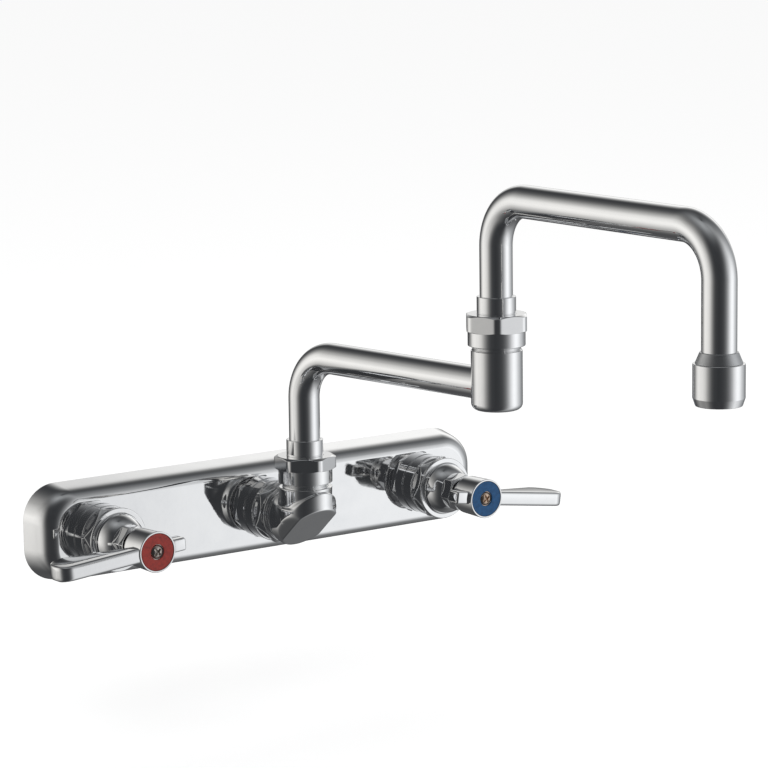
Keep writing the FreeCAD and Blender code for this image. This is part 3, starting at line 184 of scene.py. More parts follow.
def hexagon_radius(apothem: float, angles: np.ndarray) -> np.ndarray:
    """Distance from the middle of a hexagon to its side, with softly broken corners.

    Formula: apothem / cos(angle to the nearest flat), softly joined to the next flat's.
    The first corner is at angle 0.
    """
    off = np.abs(np.mod(angles, math.pi / 3) - math.pi / 6)
    near = apothem / np.cos(off)
    following = apothem / np.cos(np.minimum(math.pi / 3 - off, 1.4))
    return soft_min(near, following, CORNER_SOFTNESS)


def hexagon_angles(per_side: int = 28) -> np.ndarray:
    """Angles round a hexagon, crowded towards its corners by a sine."""
    side = np.sin(np.linspace(-1, 1, per_side, endpoint=False) * math.pi / 2) * math.pi / 6
    flats = np.arange(6)[:, None] * math.pi / 3 + math.pi / 6
    return (flats + side).ravel()


@dataclass
class Surface:
    """A grid of points (rows, columns, 3) and whether it closes along each way."""

    grid: np.ndarray
    wrap_rows: bool = False
    wrap_columns: bool = True

    def faces(self) -> np.ndarray:
        """Four point numbers for each cell of the grid."""
        rows, columns = self.grid.shape[:2]
        numbers = np.arange(rows * columns).reshape(rows, columns)
        if self.wrap_rows:
            numbers = np.vstack([numbers, numbers[:1]])
        if self.wrap_columns:
            numbers = np.hstack([numbers, numbers[:, :1]])
        cells = (numbers[:-1, :-1], numbers[1:, :-1], numbers[1:, 1:], numbers[:-1, 1:])
        return np.stack([cell.ravel() for cell in cells], axis=1)


class Facing(Enum):
    """Which way a piece's own axis points."""

    OUT = "away from the wall"
    UP = "upright"


@dataclass(frozen=True)
class Station:
    """Where a piece's axis stands, which way it points and how it is turned."""

    x: float = 0.0
    y: float = 0.0
    facing: Facing = Facing.UP
    turn: float = 0.0

    def place(self, surface: Surface) -> Surface:
        """Turn a surface about its own axis and stand it at the station."""
        local, angle = surface.grid, math.radians(self.turn)
        across = local[..., 0] * math.cos(angle) - local[..., 1] * math.sin(angle)
        side = local[..., 0] * math.sin(angle) + local[..., 1] * math.cos(angle)
        height = local[..., 2]
        if self.facing is Facing.OUT:
            grid = np.stack([self.x + across, self.y - height, side], axis=-1)
        else:
            grid = np.stack([self.x + across, self.y + side, height], axis=-1)
        return Surface(grid, surface.wrap_rows, surface.wrap_columns)

    def turned_by(self, turn: float) -> "Station":
        """The same place with another turn."""
        return Station(self.x, self.y, self.facing, turn)


def rings_round(radius: np.ndarray, height: np.ndarray, angles: np.ndarray) -> np.ndarray:
    """Grid of rings about the upright axis, one row for each radius and height."""
    return np.stack([radius * np.cos(angles), radius * np.sin(angles), height + 0 * angles], axis=-1)


def turned(profile: np.ndarray, closed: bool = True, columns: int = 144) -> Surface:
    """Surface of revolution: (radius, height) rows carried round the axis.

    Args:
        profile: Rows of (radius, height).
        closed: Whether the profile is a ring, as on a piece with a bore.
        columns: Points round the axis.

    Returns:
        The surface on its own axis.
    """
    angles = np.linspace(0, 2 * math.pi, columns, endpoint=False)
    return Surface(rings_round(profile[:, :1], profile[:, 1:], angles), wrap_rows=closed)


def milled(profile: np.ndarray, flats: float, start: float, end: float) -> Surface:
    """Surface of revolution with six flats between two heights.

    Formula: in those rows the radius is the softened lesser of the profile's and the
    hexagon's, so a chamfer meets the flats in the usual arches.

    Args:
        profile: Closed ring of (radius, height) rows.
        flats: Distance across the flats.
        start, end: Heights between which the flats are cut.

    Returns:
        The surface on its own axis.
    """
    angles = hexagon_angles()
    radius, height = profile[:, :1] + 0 * angles, profile[:, 1:] + 0 * angles
    side = hexagon_radius(flats / 2, angles)[None] + 0 * radius
    cut = (height > start - HEIGHT_SLACK) & (height < end + HEIGHT_SLACK)
    radius = np.where(cut, soft_min(radius, side, CHAMFER_SOFTNESS), radius)
    return Surface(rings_round(radius, height, angles), wrap_rows=True)


def between(start: tuple[float, float], end: tuple[float, float], steps: int) -> list:
    """Evenly spaced corners strictly between two points."""
    parts = np.linspace(0, 1, steps + 1)[1:-1]
    return [(start[0] + (end[0] - start[0]) * p, start[1] + (end[1] - start[1]) * p, 0.0) for p in parts]


def threaded(radius: float, start: float, end: float, pitch: float, depth: float) -> list:
    """Corners of a thread seen in section: crests on radius, roots deeper by depth.

    Formula: the radius follows a triangle wave of the given pitch along the height.
    """
    count = max(int(abs(end - start) / pitch) * 4, 4)
    heights = np.linspace(start, end, count + 1)
    wave = np.abs(np.mod(np.arange(count + 1) / 4, 1) * 2 - 1)
    return [(radius - depth * (1 - w), h, 0.0) for w, h in zip(wave, heights)]


def swept(path: np.ndarray, radius: float, wall: float, columns: int = 96) -> Surface:
    """Round tube along a path in the plane x = 0, with its bore.

    Formula: each ring is the path's point plus radius times (cos a along X, sin a along
    the path's own normal); the outer rings run forward and the bore's rings back.

    Args:
        path: Rows of (y, z).
        radius: Outer radius.
        wall: Wall thickness.
        columns: Points round the tube.

    Returns:
        The closed surface on its own axis.
    """
    along = np.gradient(path, axis=0)
    along /= np.linalg.norm(along, axis=1)[:, None]
    normal = np.stack([-along[:, 1], along[:, 0]], axis=1)
    angles = np.linspace(0, 2 * math.pi, columns, endpoint=False)

    def rings(size: float) -> np.ndarray:
        """All rings of one radius."""
        lift = size * np.sin(angles)
        across = size * np.cos(angles) + 0 * path[:, :1]
        y = path[:, :1] + normal[:, :1] * lift
        z = path[:, 1:] + normal[:, 1:] * lift
        return np.stack([across, y, z], axis=-1)

    return Surface(np.concatenate([rings(radius), rings(radius - wall)[::-1]]), wrap_rows=True)


def bent_path(runs: list[tuple[float, float]], bends: list[float]) -> np.ndarray:
    """Path of straight runs joined by tangent arcs, with a support point beside each end.

    Formula: an arc of radius r at a corner of inner angle 2h starts r / tan(h) from it.

    Args:
        runs: Corner points (y, z) of the path.
        bends: Radius at each inner corner.

    Returns:
        Rows of (y, z).
    """
    points = np.array(runs, float)
    first, last = points[1] - points[0], points[-2] - points[-1]
    first, last = first / np.linalg.norm(first), last / np.linalg.norm(last)
    rows = [points[:1], points[:1] + first * 0.3, points[:1] + first * 0.6]
    for index, bend in enumerate(bends, 1):
        back = points[index - 1] - points[index]
        ahead = points[index + 1] - points[index]
        back, ahead = back / np.linalg.norm(back), ahead / np.linalg.norm(ahead)
        reach = bend / math.tan(half_angle(back, ahead))
        rows += corner_arc(points[index], (back, ahead), reach, 0.5, 40)
    rows += [points[-1:] + last * 0.6, points[-1:] + last * 0.3, points[-1:]]
    return np.vstack(rows)


# ------------------------------------------------------------------ pieces

class Look(Enum):
    """The finishes, each with the record's slot that it belongs to."""

    TUBE_CHROME = "chrome"
    CAST_CHROME = "chrome:cast"
    TURNED_CHROME = "chrome:turned"
    SATIN_CHROME = "chrome:satin"
    BRASS = "brass"
    SCREW_STEEL = "screw_steel"
    SCREW_BRASS = "screw_brass"
    HOT_INDEX = "hot_index"
    COLD_INDEX = "cold_index"
    RUBBER = "rubber"
    FIBRE = "fibre"
    WHITE_PLASTIC = "white_plastic"
    CERAMIC = "ceramic"

    @property
    def slot(self) -> str:
        """The record's slot name."""
        return self.value.split(":")[0]


@dataclass
class Piece:
    """One named object of the faucet and what it belongs to."""

    name: str
    body: str
    look: Look
    surfaces: list[Surface]
    nodes: tuple[str, ...] = ()

    def build(self, finishes: dict) -> bpy.types.Object:
        """Make the mesh from the grids, dress it and tie it to the frame.

        Args:
            finishes: Materials by look.

        Returns:
            The new object.
        """
        points, cells, first = [], [], 0
        for surface in self.surfaces:
            points.append(surface.grid.reshape(-1, 3) * MM)
            cells.append(surface.faces() + first)
            first += len(points[-1])
        points, cells = np.concatenate(points), np.concatenate(cells)
        mesh = bpy.data.meshes.new(self.name)
        mesh.vertices.add(len(points))
        mesh.vertices.foreach_set("co", points.ravel())
        mesh.loops.add(cells.size)
        mesh.loops.foreach_set("vertex_index", cells.ravel().astype(np.int32))
        mesh.polygons.add(len(cells))
        mesh.polygons.foreach_set("loop_start", np.arange(0, cells.size, 4, dtype=np.int32))
        mesh.update(calc_edges=True)
        self.clean(mesh)
        mesh.polygons.foreach_set("use_smooth", np.ones(len(mesh.polygons), bool))
        mesh.materials.append(finishes[self.look])
        item = bpy.data.objects.new(self.name, mesh)
        bpy.context.scene.collection.objects.link(item)
        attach(item, self.body)
        if self.nodes:
            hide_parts(*self.nodes)
        log.info("%s: %d faces, rides on %s", self.name, len(mesh.polygons), self.body)
        return item

    @staticmethod
    def clean(mesh: bpy.types.Mesh) -> None:
        """Merge the points that meet at poles and seams, and turn all faces outward."""
        work = bmesh.new()
        work.from_mesh(mesh)
        bmesh.ops.remove_doubles(work, verts=work.verts, dist=MERGE)
        bmesh.ops.dissolve_degenerate(work, dist=MERGE / 2, edges=work.edges)
        bmesh.ops.recalc_face_normals(work, faces=work.faces)
        work.to_mesh(mesh)
        work.free()


# ------------------------------------------------------------------ the faucet's parts

@dataclass(frozen=True)
class Section:
    """One rounded-rectangle section of the wall body."""

    depth: float
    width: float
    top: float
    bottom: float
    corner: float


@dataclass
class WallBody:
    """Cast body on the wall: smooth cover, rear recess, bosses and mixing channel."""

    back: Section = Section(0.0, 272.0, 25.8, 23.8, 18.0)
    front: Section = Section(18.8, 254.2, 18.9, 18.1, 14.0)
    straight_share: float = 0.36
    bend_power: float = 7.0
    wall: float = 3.5
    edge: float = 0.9
    valve_spacing: float = VALVE_SPACING
    boss_radius: float = 14.6
    boss_depth: float = 16.0
    port_radius: float = 5.5
    inlet_radius: float = 9.3
    inlet_depth: float = 8.5
    outlet_boss_radius: float = 13.2
    channel_height: float = 13.6
    channel_radius: float = 5.0

    def section(self, depth: float, inset: float) -> np.ndarray:
        """Outline of the body at a depth, drawn in by inset.

        Formula: width, top, bottom and corner each go from the back's value to the front's
        by a straight share of the depth and the rest of it raised to a power, so the sides
        lean a little and turn in before the face; the outline is four quarter circles
        joined by straight sides.

        Args:
            depth: Distance out from the wall.
            inset: How far the outline is drawn in.

        Returns:
            Points of the outline, one row of (x, y, z) each.
        """
        along = depth / self.front.depth
        share = self.straight_share * along + (1 - self.straight_share) * along ** self.bend_power
        names = ("width", "top", "bottom", "corner")
        first, last = (np.array([getattr(part, name) for name in names]) for part in (self.back, self.front))
        width, top, bottom, corner = first + (last - first) * share
        side, high, low = width / 2 - inset, top - inset, bottom - inset
        reach = max(min(corner - inset, (high + low) / 2), 0.0)
        angles = np.linspace(0, math.pi / 2, 25)
        turn = angles[None] + np.arange(4)[:, None] * math.pi / 2
        x_side = np.array([1, -1, -1, 1])[:, None] * (side - reach)
        z_side = np.array([high - reach, high - reach, reach - low, reach - low])[:, None]
        x = x_side + reach * np.cos(turn)
        z = z_side + reach * np.sin(turn)
        return np.stack([x, 0 * x - depth, z], axis=-1).reshape(-1, 3)

    def cover(self) -> Surface:
        """Closed casting: recess floor and walls, rear rim, outside, broken front edge, face."""
        front, floor = self.front, self.front.depth - self.wall
        middle = (front.top + front.bottom) / 2
        rows = [self.section(floor, inset) for inset in (middle, 14.0, 9.0, 6.0, 4.2, 3.7)]
        rows += [self.section(depth, self.wall) for depth in np.linspace(floor - 0.2, 0.3, 14)]
        rows += [self.section(0, inset) for inset in (3.3, 2.5, 1.0, 0.45)]
        turn = np.linspace(0, math.pi / 2, 5)[1:]
        rows += [self.section(0.45 - 0.45 * math.cos(a), 0.45 - 0.45 * math.sin(a)) for a in turn]
        rows += [self.section(depth, 0) for depth in np.linspace(0.6, front.depth - self.edge, 30)]
        for angle in np.linspace(0, math.pi / 2, 8)[1:]:
            depth = front.depth - self.edge * (1 - math.sin(angle))
            rows.append(self.section(depth, self.edge * (1 - math.cos(angle)) * 0.9))
        insets = (self.edge * 0.9 + 0.15, 3.0, 6.0, 10.0, 13.9, middle)
        rows += [self.section(front.depth, inset) for inset in insets]
        return Surface(np.stack(rows))

    def boss(self, side: int) -> Surface:
        """Boss behind a valve, with the supply thread in it."""
        profile = rounded([
            (self.boss_radius, 0.0, 0.4),
            (self.boss_radius, self.boss_depth, 0.0),
            (self.port_radius, self.boss_depth, 0.0),
            (self.port_radius, self.inlet_depth, 0.3),
            (self.inlet_radius, self.inlet_depth, 0.0),
            *threaded(self.inlet_radius + 0.5, self.inlet_depth - 0.8, 1.0, 1.81, 0.7),
            (self.inlet_radius + 0.6, 0.0, 0.3),
        ])
        place = Station(x=side * self.valve_spacing / 2, facing=Facing.OUT)
        return place.place(turned(profile))

    def outlet_boss(self) -> Surface:
        """Closed boss behind the elbow."""
        profile = rounded([
            (0.0, 0.05, 0.0),
            (self.outlet_boss_radius, 0.05, 0.6),
            (self.outlet_boss_radius, self.boss_depth, 0.0),
            (0.0, self.boss_depth, 0.0),
        ], closed=False)
        return Station(facing=Facing.OUT).place(turned(profile, closed=False))

    def channel(self) -> Surface:
        """Mixing channel between the bosses, a plain cast tube."""
        half = self.valve_spacing / 2 - self.boss_radius + 1
        angles = np.linspace(0, 2 * math.pi, 48, endpoint=False)
        x = np.array([-half, -half, half, half])[:, None] + 0 * angles
        radius = np.array([0, 1, 1, 0])[:, None] * self.channel_radius
        y = radius * np.cos(angles) - self.channel_height
        return Surface(np.stack([x, y, radius * np.sin(angles)], axis=-1))

    def pieces(self) -> list[Piece]:
        """The casting as one piece."""
        shells = [self.cover(), self.boss(-1), self.boss(1), self.outlet_boss(), self.channel()]
        return [Piece("body_cover", "wall_body", Look.CAST_CHROME, shells, ("valve_body",))]


@dataclass
class RingedHexagon:
    """Hexagon on a round flange, with a turned ring beyond it, on the body's front face."""

    seat: float = 18.8
    flange_radius: float = 15.9
    flange_height: float = 7.3
    flats: float = 28.575
    hex_height: float = 2.8
    chamfer: float = 2.5
    neck_sink: float = 2.3
    neck_height: float = 2.4
    ring_radius: float = 16.24
    ring_height: float = 1.6

    @property
    def flange_end(self) -> float:
        """Height of the flange's outer face."""
        return self.seat + self.flange_height

    @property
    def chamfer_end(self) -> float:
        """Height at which the chamfer ends."""
        return self.flange_end + self.hex_height + self.chamfer

    @property
    def ring_end(self) -> float:
        """Height of the ring's outer face."""
        return self.chamfer_end + self.neck_height + self.ring_height

    def outline(self) -> list:
        """Corners from the seat to the ring's outer face."""
        corner = self.flats / math.sqrt(3)
        neck = self.ring_radius - self.neck_sink
        chamfer_start = (corner, self.flange_end + self.hex_height)
        chamfer_end = (corner - self.chamfer, self.chamfer_end)
        return [
            (self.flange_radius - 0.3, self.seat + 0.01, 0.1),
            (self.flange_radius - 0.3, self.seat + 0.5, 0.1),
            (self.flange_radius, self.seat + 0.8, 0.2),
            (self.flange_radius, self.flange_end, 0.4),
            (self.flats / 2 - 0.3, self.flange_end, 0.0),
            (corner, self.flange_end + 0.02, 0.0),
            (*chamfer_start, 0.2),
            *between(chamfer_start, chamfer_end, 22),
            (*chamfer_end, 0.15),
            (neck, self.chamfer_end + 0.1, 0.1),
            (neck, self.chamfer_end + self.neck_height, 0.1),
            (self.ring_radius, self.chamfer_end + self.neck_height, 0.35),
            (self.ring_radius, self.ring_end, 0.45),
        ]


@dataclass
class Valve:
    """One lever valve: bonnet, packing nut, lever, index disc and screw."""

    name: str
    side: int
    bonnet_turn: float
    lever_turn: float
    disc_look: Look
    screw_look: Look
    hexagon: RingedHexagon = field(default_factory=RingedHexagon)
    spacing: float = VALVE_SPACING
    dome_radius: float = 13.5
    dome_height: float = 9.0
    dome_bow: float = 13.0
    mouth_radius: float = 9.0
    bonnet_bore: float = 8.05
    bore_end: float = 39.9
    chamber_radius: float = 11.1
    thread_radius: float = 12.4
    thread_end: float = 27.4
    nut_flats: float = 17.0
    nut_height: float = 6.8
    nut_roof: float = 2.3
    nut_bore: float = 6.45
    stem_hole: float = 4.05
    face: float = 71.6
    hub_radius: float = 10.34
    hub_back_radius: float = 9.9
    hub_length: float = 15.6
    neck_radius: float = 7.4
    disc_radius: float = 9.25
    disc_hole: float = 3.85
    disc_depth: float = 1.0
    screw_depth: float = 2.65
    screw_hole: float = 2.1
    screw_radius: float = 3.6
    screw_turn: float = 38.0
    shank_radius: float = 1.95
    shank_length: float = 12.0
    arm_length: float = 54.0
    arm_half: float = 3.8
    arm_sink: float = 0.6
    root_width: float = 8.0
    tip_width: float = 19.5
    tip_start: float = 43.0
    tip_round: float = 6.5
    tail_length: float = 18.0
    tail_half: float = 3.3
    tail_width: float = 8.0
    tail_sink: float = 1.8

    def station(self, turn: float) -> Station:
        """The valve's axis with a turn about it."""
        return Station(x=self.side * self.spacing / 2, facing=Facing.OUT, turn=turn)

    @property
    def dome_top(self) -> float:
        """Height of the dome's mouth."""
        return self.hexagon.ring_end + self.dome_height

    @property
    def nut_top(self) -> float:
        """Height of the packing nut's face."""
        return self.dome_top + self.nut_height

    def bonnet(self) -> Surface:
        """Hexagon, ring and dome turned and milled in one."""
        ring = self.hexagon.ring_end
        dome_end = (self.mouth_radius + 0.3, self.dome_top - 0.1)
        profile = rounded([
            *self.hexagon.outline(),
            (self.dome_radius + 0.5, ring, 0.3),
            *arc((self.dome_radius, ring + 0.25), dome_end, self.dome_bow),
            (self.mouth_radius, self.dome_top, 0.0),
            (self.bonnet_bore, self.dome_top, 0.0),
            (self.bonnet_bore, self.bore_end, 0.0),
            (self.chamber_radius, ring, 0.0),
            (self.chamber_radius, self.thread_end, 0.0),
            (self.thread_radius, self.thread_end, 0.0),
            (self.thread_radius, self.hexagon.seat + 0.01, 0.0),
        ])
        cut = self.hexagon.flange_end + 0.015, self.hexagon.chamfer_end - 0.02
        shape = milled(profile, self.hexagon.flats, *cut)
        return self.station(self.bonnet_turn).place(shape)

    def packing_nut(self) -> Surface:
        """Small hexagon between the dome and the lever's neck."""
        corner = self.nut_flats / math.sqrt(3)
        chamfer = (corner, self.nut_top - 0.8), (corner - 1.6, self.nut_top)
        profile = rounded([
            (corner, self.dome_top + 0.01, 0.15),
            (*chamfer[0], 0.15),
            *between(*chamfer, 16),
            (*chamfer[1], 0.15),
            (self.stem_hole, self.nut_top, 0.15),
            (self.stem_hole, self.nut_top - self.nut_roof, 0.0),
            (self.nut_bore, self.nut_top - self.nut_roof, 0.0),
            (self.nut_bore, self.dome_top + 0.01, 0.0),
        ])
        shape = milled(profile, self.nut_flats, self.dome_top, self.nut_top)
        return self.station(self.bonnet_turn).place(shape)

    def hub(self) -> Surface:
        """Flared hub with a raised lip round the index disc."""
        foot, back = self.nut_top + 0.8, self.face - self.hub_length
        floor, seat = self.face - self.disc_depth, self.face - self.screw_depth
        profile = rounded([
            (self.screw_hole, foot, 0.2),
            (self.neck_radius, foot, 0.5),
            (self.neck_radius, back, 0.6),
            (self.hub_back_radius, back, 0.7),
            (self.hub_radius, self.face, 0.35),
            (self.disc_radius + 0.1, self.face, 0.25),
            (self.disc_radius + 0.1, floor, 0.0),
            (self.screw_radius + 0.1, floor, 0.0),
            (self.screw_radius + 0.1, seat, 0.0),
            (self.screw_hole, seat, 0.0),
        ])
        return self.station(self.lever_turn).place(turned(profile))

    @staticmethod
    def bar(out: np.ndarray, low: np.ndarray, high: np.ndarray, half: np.ndarray, edge: float) -> Surface:
        """Bar along X whose sections are rounded rectangles.

        Formula: a section's points are its half sizes less the edge radius, plus the edge
        radius times (cos, sin) in each quarter; the first and last section close to a line.

        Args:
            out: Distance along X of each section.
            low, high: Lowest and highest height of each section.
            half: Half thickness of each section.
            edge: Radius of the long edges.

        Returns:
            The closed bar.
        """
        tall = (high - low) / 2
        radius = np.minimum(np.minimum(half, tall), edge)[:, None]
        turn = (np.linspace(0, math.pi / 2, 7)[None] + np.arange(4)[:, None] * math.pi / 2).ravel()
        y_sign = np.repeat([1, -1, -1, 1], 7)
        z_sign = np.repeat([1, 1, -1, -1], 7)
        y = y_sign * (half[:, None] - radius) + radius * np.cos(turn)
        z = z_sign * (tall[:, None] - radius) + radius * np.sin(turn)
        grid = np.stack([out[:, None] + 0 * y, y, z + ((high + low) / 2)[:, None]], axis=-1)
        ends = [np.broadcast_to(row.mean(axis=0), row.shape) for row in (grid[0], grid[-1])]
        return Surface(np.concatenate([ends[0][None], grid, ends[1][None]]))

    def arm(self) -> Surface:
        """Flat arm that deepens towards its rounded tip.

        Formula: the front edge is straight and ends in a quarter circle; the back edge
        falls away in a gentle curve and comes back in a larger quarter circle.
        """
        front = self.face - self.arm_sink
        big = self.arm_length - self.tip_start
        ease = np.linspace(0, 1, 25)
        out = np.concatenate([
            np.linspace(4.0, self.tip_start, 34)[:-1],
            self.tip_start + big * np.sin(ease * math.pi / 2),
        ])
        out[-1] -= 1e-3
        small_start = self.arm_length - self.tip_round
        past = np.clip(out - small_start, 0, self.tip_round)
        high = front - self.tip_round + np.sqrt(self.tip_round ** 2 - past ** 2)
        past = np.clip(out - self.tip_start, 0, big)
        slope = np.clip((out - self.hub_radius) / (self.tip_start - self.hub_radius), 0, 1)
        fall = self.root_width + (self.tip_width - self.root_width) * slope
        low = front - fall + big - np.sqrt(big ** 2 - past ** 2)
        near_end = np.clip((out - (self.arm_length - 1.4)) / 1.4, 0, 1)
        half = self.arm_half - 1.4 * (1 - np.sqrt(1 - near_end ** 2 + 1e-9))
        return self.station(self.lever_turn).place(self.bar(out, low, high, half, 1.8))

    def tail(self) -> Surface:
        """Short square tail behind the hub."""
        front = self.face - self.tail_sink
        ease = np.sin(np.linspace(0, 1, 9) * math.pi / 2)
        out = np.concatenate([-self.tail_length + 1.2 * (1 - ease[::-1]), [-12.0, -4.0]])
        near_end = np.clip((-out - (self.tail_length - 1.2)) / 1.2, 0, 1)
        shrink = 1.2 * (1 - np.sqrt(1 - near_end ** 2 + 1e-9))
        low, high = front - self.tail_width + shrink, front - shrink
        return self.station(self.lever_turn).place(self.bar(out, low, high, self.tail_half - shrink, 1.1))

    def disc(self) -> Surface:
        """Plain coloured ring in the hub's face."""
        profile = rounded([
            (self.disc_hole, self.face - self.disc_depth, 0.0),
            (self.disc_radius, self.face - self.disc_depth, 0.0),
            (self.disc_radius, self.face - 0.1, 0.25),
            (self.disc_hole, self.face - 0.1, 0.3),
        ])
        return self.station(self.lever_turn).place(turned(profile))

    def screw(self) -> Surface:
        """Round screw head with a cross pressed into it, on its shank.

        Formula: the head's height is a dome less a recess; the recess is a soft step of
        the lesser of |x| and |y| against the slit, times a soft step of the greater
        against the cross's reach, so its floor rises towards the ends.
        """
        seat, top, reach = self.face - 2.6, self.face + 0.3, self.screw_radius
        inner, rim = np.linspace(0, reach - 0.4, 46), np.linspace(reach - 0.38, reach, 8)
        radius = np.concatenate([inner, rim])[:, None]
        angles = np.linspace(0, 2 * math.pi, 168, endpoint=False)
        x, y = radius * np.cos(angles), radius * np.sin(angles)
        dome = top - 1.4 * (radius / reach) ** 2.8 + 0 * angles
        across, along = np.minimum(abs(x), abs(y)), np.maximum(abs(x), abs(y))
        slit = 1 / (1 + np.exp((across - 0.56 + 0.07 * along) / 0.04))
        arms = 1 / (1 + np.exp((along - 2.1) / 0.07))
        dome -= slit * arms * (1.5 - 0.3 * along)
        head = np.stack([x, y, dome], axis=-1)
        foot = seat - self.shank_length
        rings = np.array([(reach, seat), (self.shank_radius, seat), (self.shank_radius, foot), (0.0, foot)])
        shank = rings_round(rings[:, :1], rings[:, 1:], angles)
        cross = self.station(self.lever_turn + self.screw_turn)
        return cross.place(Surface(np.concatenate([head, shank])))

    def pieces(self) -> list[Piece]:
        """All pieces of the valve that show."""
        handle = f"{self.name}_handle"
        lever = [self.hub(), self.arm(), self.tail()]
        rows = (
            ("bonnet_shell", "wall_body", Look.TURNED_CHROME, [self.bonnet()], "bonnet"),
            ("small_nut", "wall_body", Look.TURNED_CHROME, [self.packing_nut()], "packing_nut"),
            ("lever_cast", handle, Look.CAST_CHROME, lever, "lever"),
            ("index", handle, self.disc_look, [self.disc()], "index_disc"),
            ("screw", handle, self.screw_look, [self.screw()], "lever_screw"),
        )
        return [
            Piece(f"{self.name}_{piece}", body, look, surfaces, (f"{self.name}_{node}",))
            for piece, body, look, surfaces, node in rows
        ]


@dataclass
class Swivel:
    """Nut, sleeve and threaded socket end of one swivel."""

    name: str
    socket_top: float
    hex_height: float
    nut_turn: float
    nut_body: str
    sleeve_body: str
    station: Station
    lift: float = 2.2
    skirt_radius: float = 13.85
    skirt_height: float = 7.0
    flats: float = 28.6
    corner: float = 15.8
    chamfer: float = 0.7
    thread_radius: float = 11.95
    thread_height: float = 10.9
    bore_radius: float = 8.75
    sleeve_radius: float = 9.4
    sleeve_show: float = 8.3
    tube_radius: float = 7.97
    tube_bore: float = 6.2
    spigot_length: float = 19.0
    groove_radius: float = 7.3
    groove_width: float = 1.9
    groove_starts: tuple[float, float] = (-2.05, 3.95)
    neck_radius: float = 8.3
    neck_height: float = 2.0
    roof: float = 2.9
    roof_hole: float = 9.45

    @property
    def nut_top(self) -> float:
        """Height of the nut's upper face."""
        return self.socket_top + self.lift + self.skirt_height + self.hex_height

    def stub(self) -> list:
        """Corners of the socket's thread and bore, from its shoulder up and back down."""
        end = self.socket_top + self.thread_height
        return [
            *threaded(self.thread_radius, self.socket_top + 0.3, end - 0.5, 1.1, 0.45),
            (self.thread_radius - 0.5, end, 0.2),
            (self.bore_radius, end, 0.2),
        ]

    def nut(self) -> Surface:
        """Round skirt below and chamfered hexagon above, in one."""
        foot = self.socket_top + self.lift
        hex_foot, top = foot + self.skirt_height, self.nut_top
        lower = (self.corner - 1.3, hex_foot), (self.corner, hex_foot + 0.6)
        upper = (self.corner, top - 0.9), (self.corner - 1.9, top)
        profile = rounded([
            (12.0, foot, 0.2),
            (self.skirt_radius, foot, 0.4),
            (self.skirt_radius, hex_foot - 0.01, 0.1),
            (*lower[0], 0.0),
            *between(*lower, 12),
            (*lower[1], 0.1),
            (*upper[0], 0.15),
            *between(*upper, 16),
            (*upper[1], 0.2),
            (self.roof_hole, top, 0.25),
            (self.roof_hole, top - self.roof, 0.0),
            (12.0, top - self.roof, 0.0),
        ])
        shape = milled(profile, self.flats, hex_foot, top)
        return self.station.turned_by(self.nut_turn).place(shape)

    def sleeve(self) -> Surface:
        """Sleeve brazed on the tube, with its seal grooves below."""
        top = self.nut_top + self.sleeve_show
        foot = self.socket_top + self.thread_height - self.spigot_length
        spigot, ring = self.bore_radius - 0.05, self.nut_top - self.roof
        grooves = []
        for start in self.groove_starts:
            low, high = self.socket_top + start, self.socket_top + start + self.groove_width
            grooves += [(spigot, low, 0.0), (self.groove_radius, low, 0.1)]
            grooves += [(self.groove_radius, high, 0.1), (spigot, high, 0.0)]
        profile = rounded([
            (self.tube_bore, foot, 0.1),
            (spigot, foot, 0.3),
            *grooves,
            (spigot, ring - self.neck_height, 0.0),
            (self.neck_radius, ring - self.neck_height, 0.0),
            (self.neck_radius, ring, 0.0),
            (self.sleeve_radius, ring, 0.2),
            (self.sleeve_radius, top, 0.35),
            (self.tube_radius, top, 0.15),
            (self.tube_radius, ring + 1.1, 0.0),
            (self.tube_bore, ring + 1.1, 0.0),
        ])
        return self.station.place(turned(profile))

    def pieces(self) -> list[Piece]:
        """The nut and the sleeve."""
        rows = (("nut", self.nut_body, self.nut()), ("sleeve", self.sleeve_body, self.sleeve()))
        return [
            Piece(f"{self.name}_{part}_shell", body, Look.TURNED_CHROME, [surface], (f"{self.name}_{part}",))
            for part, body, surface in rows
        ]


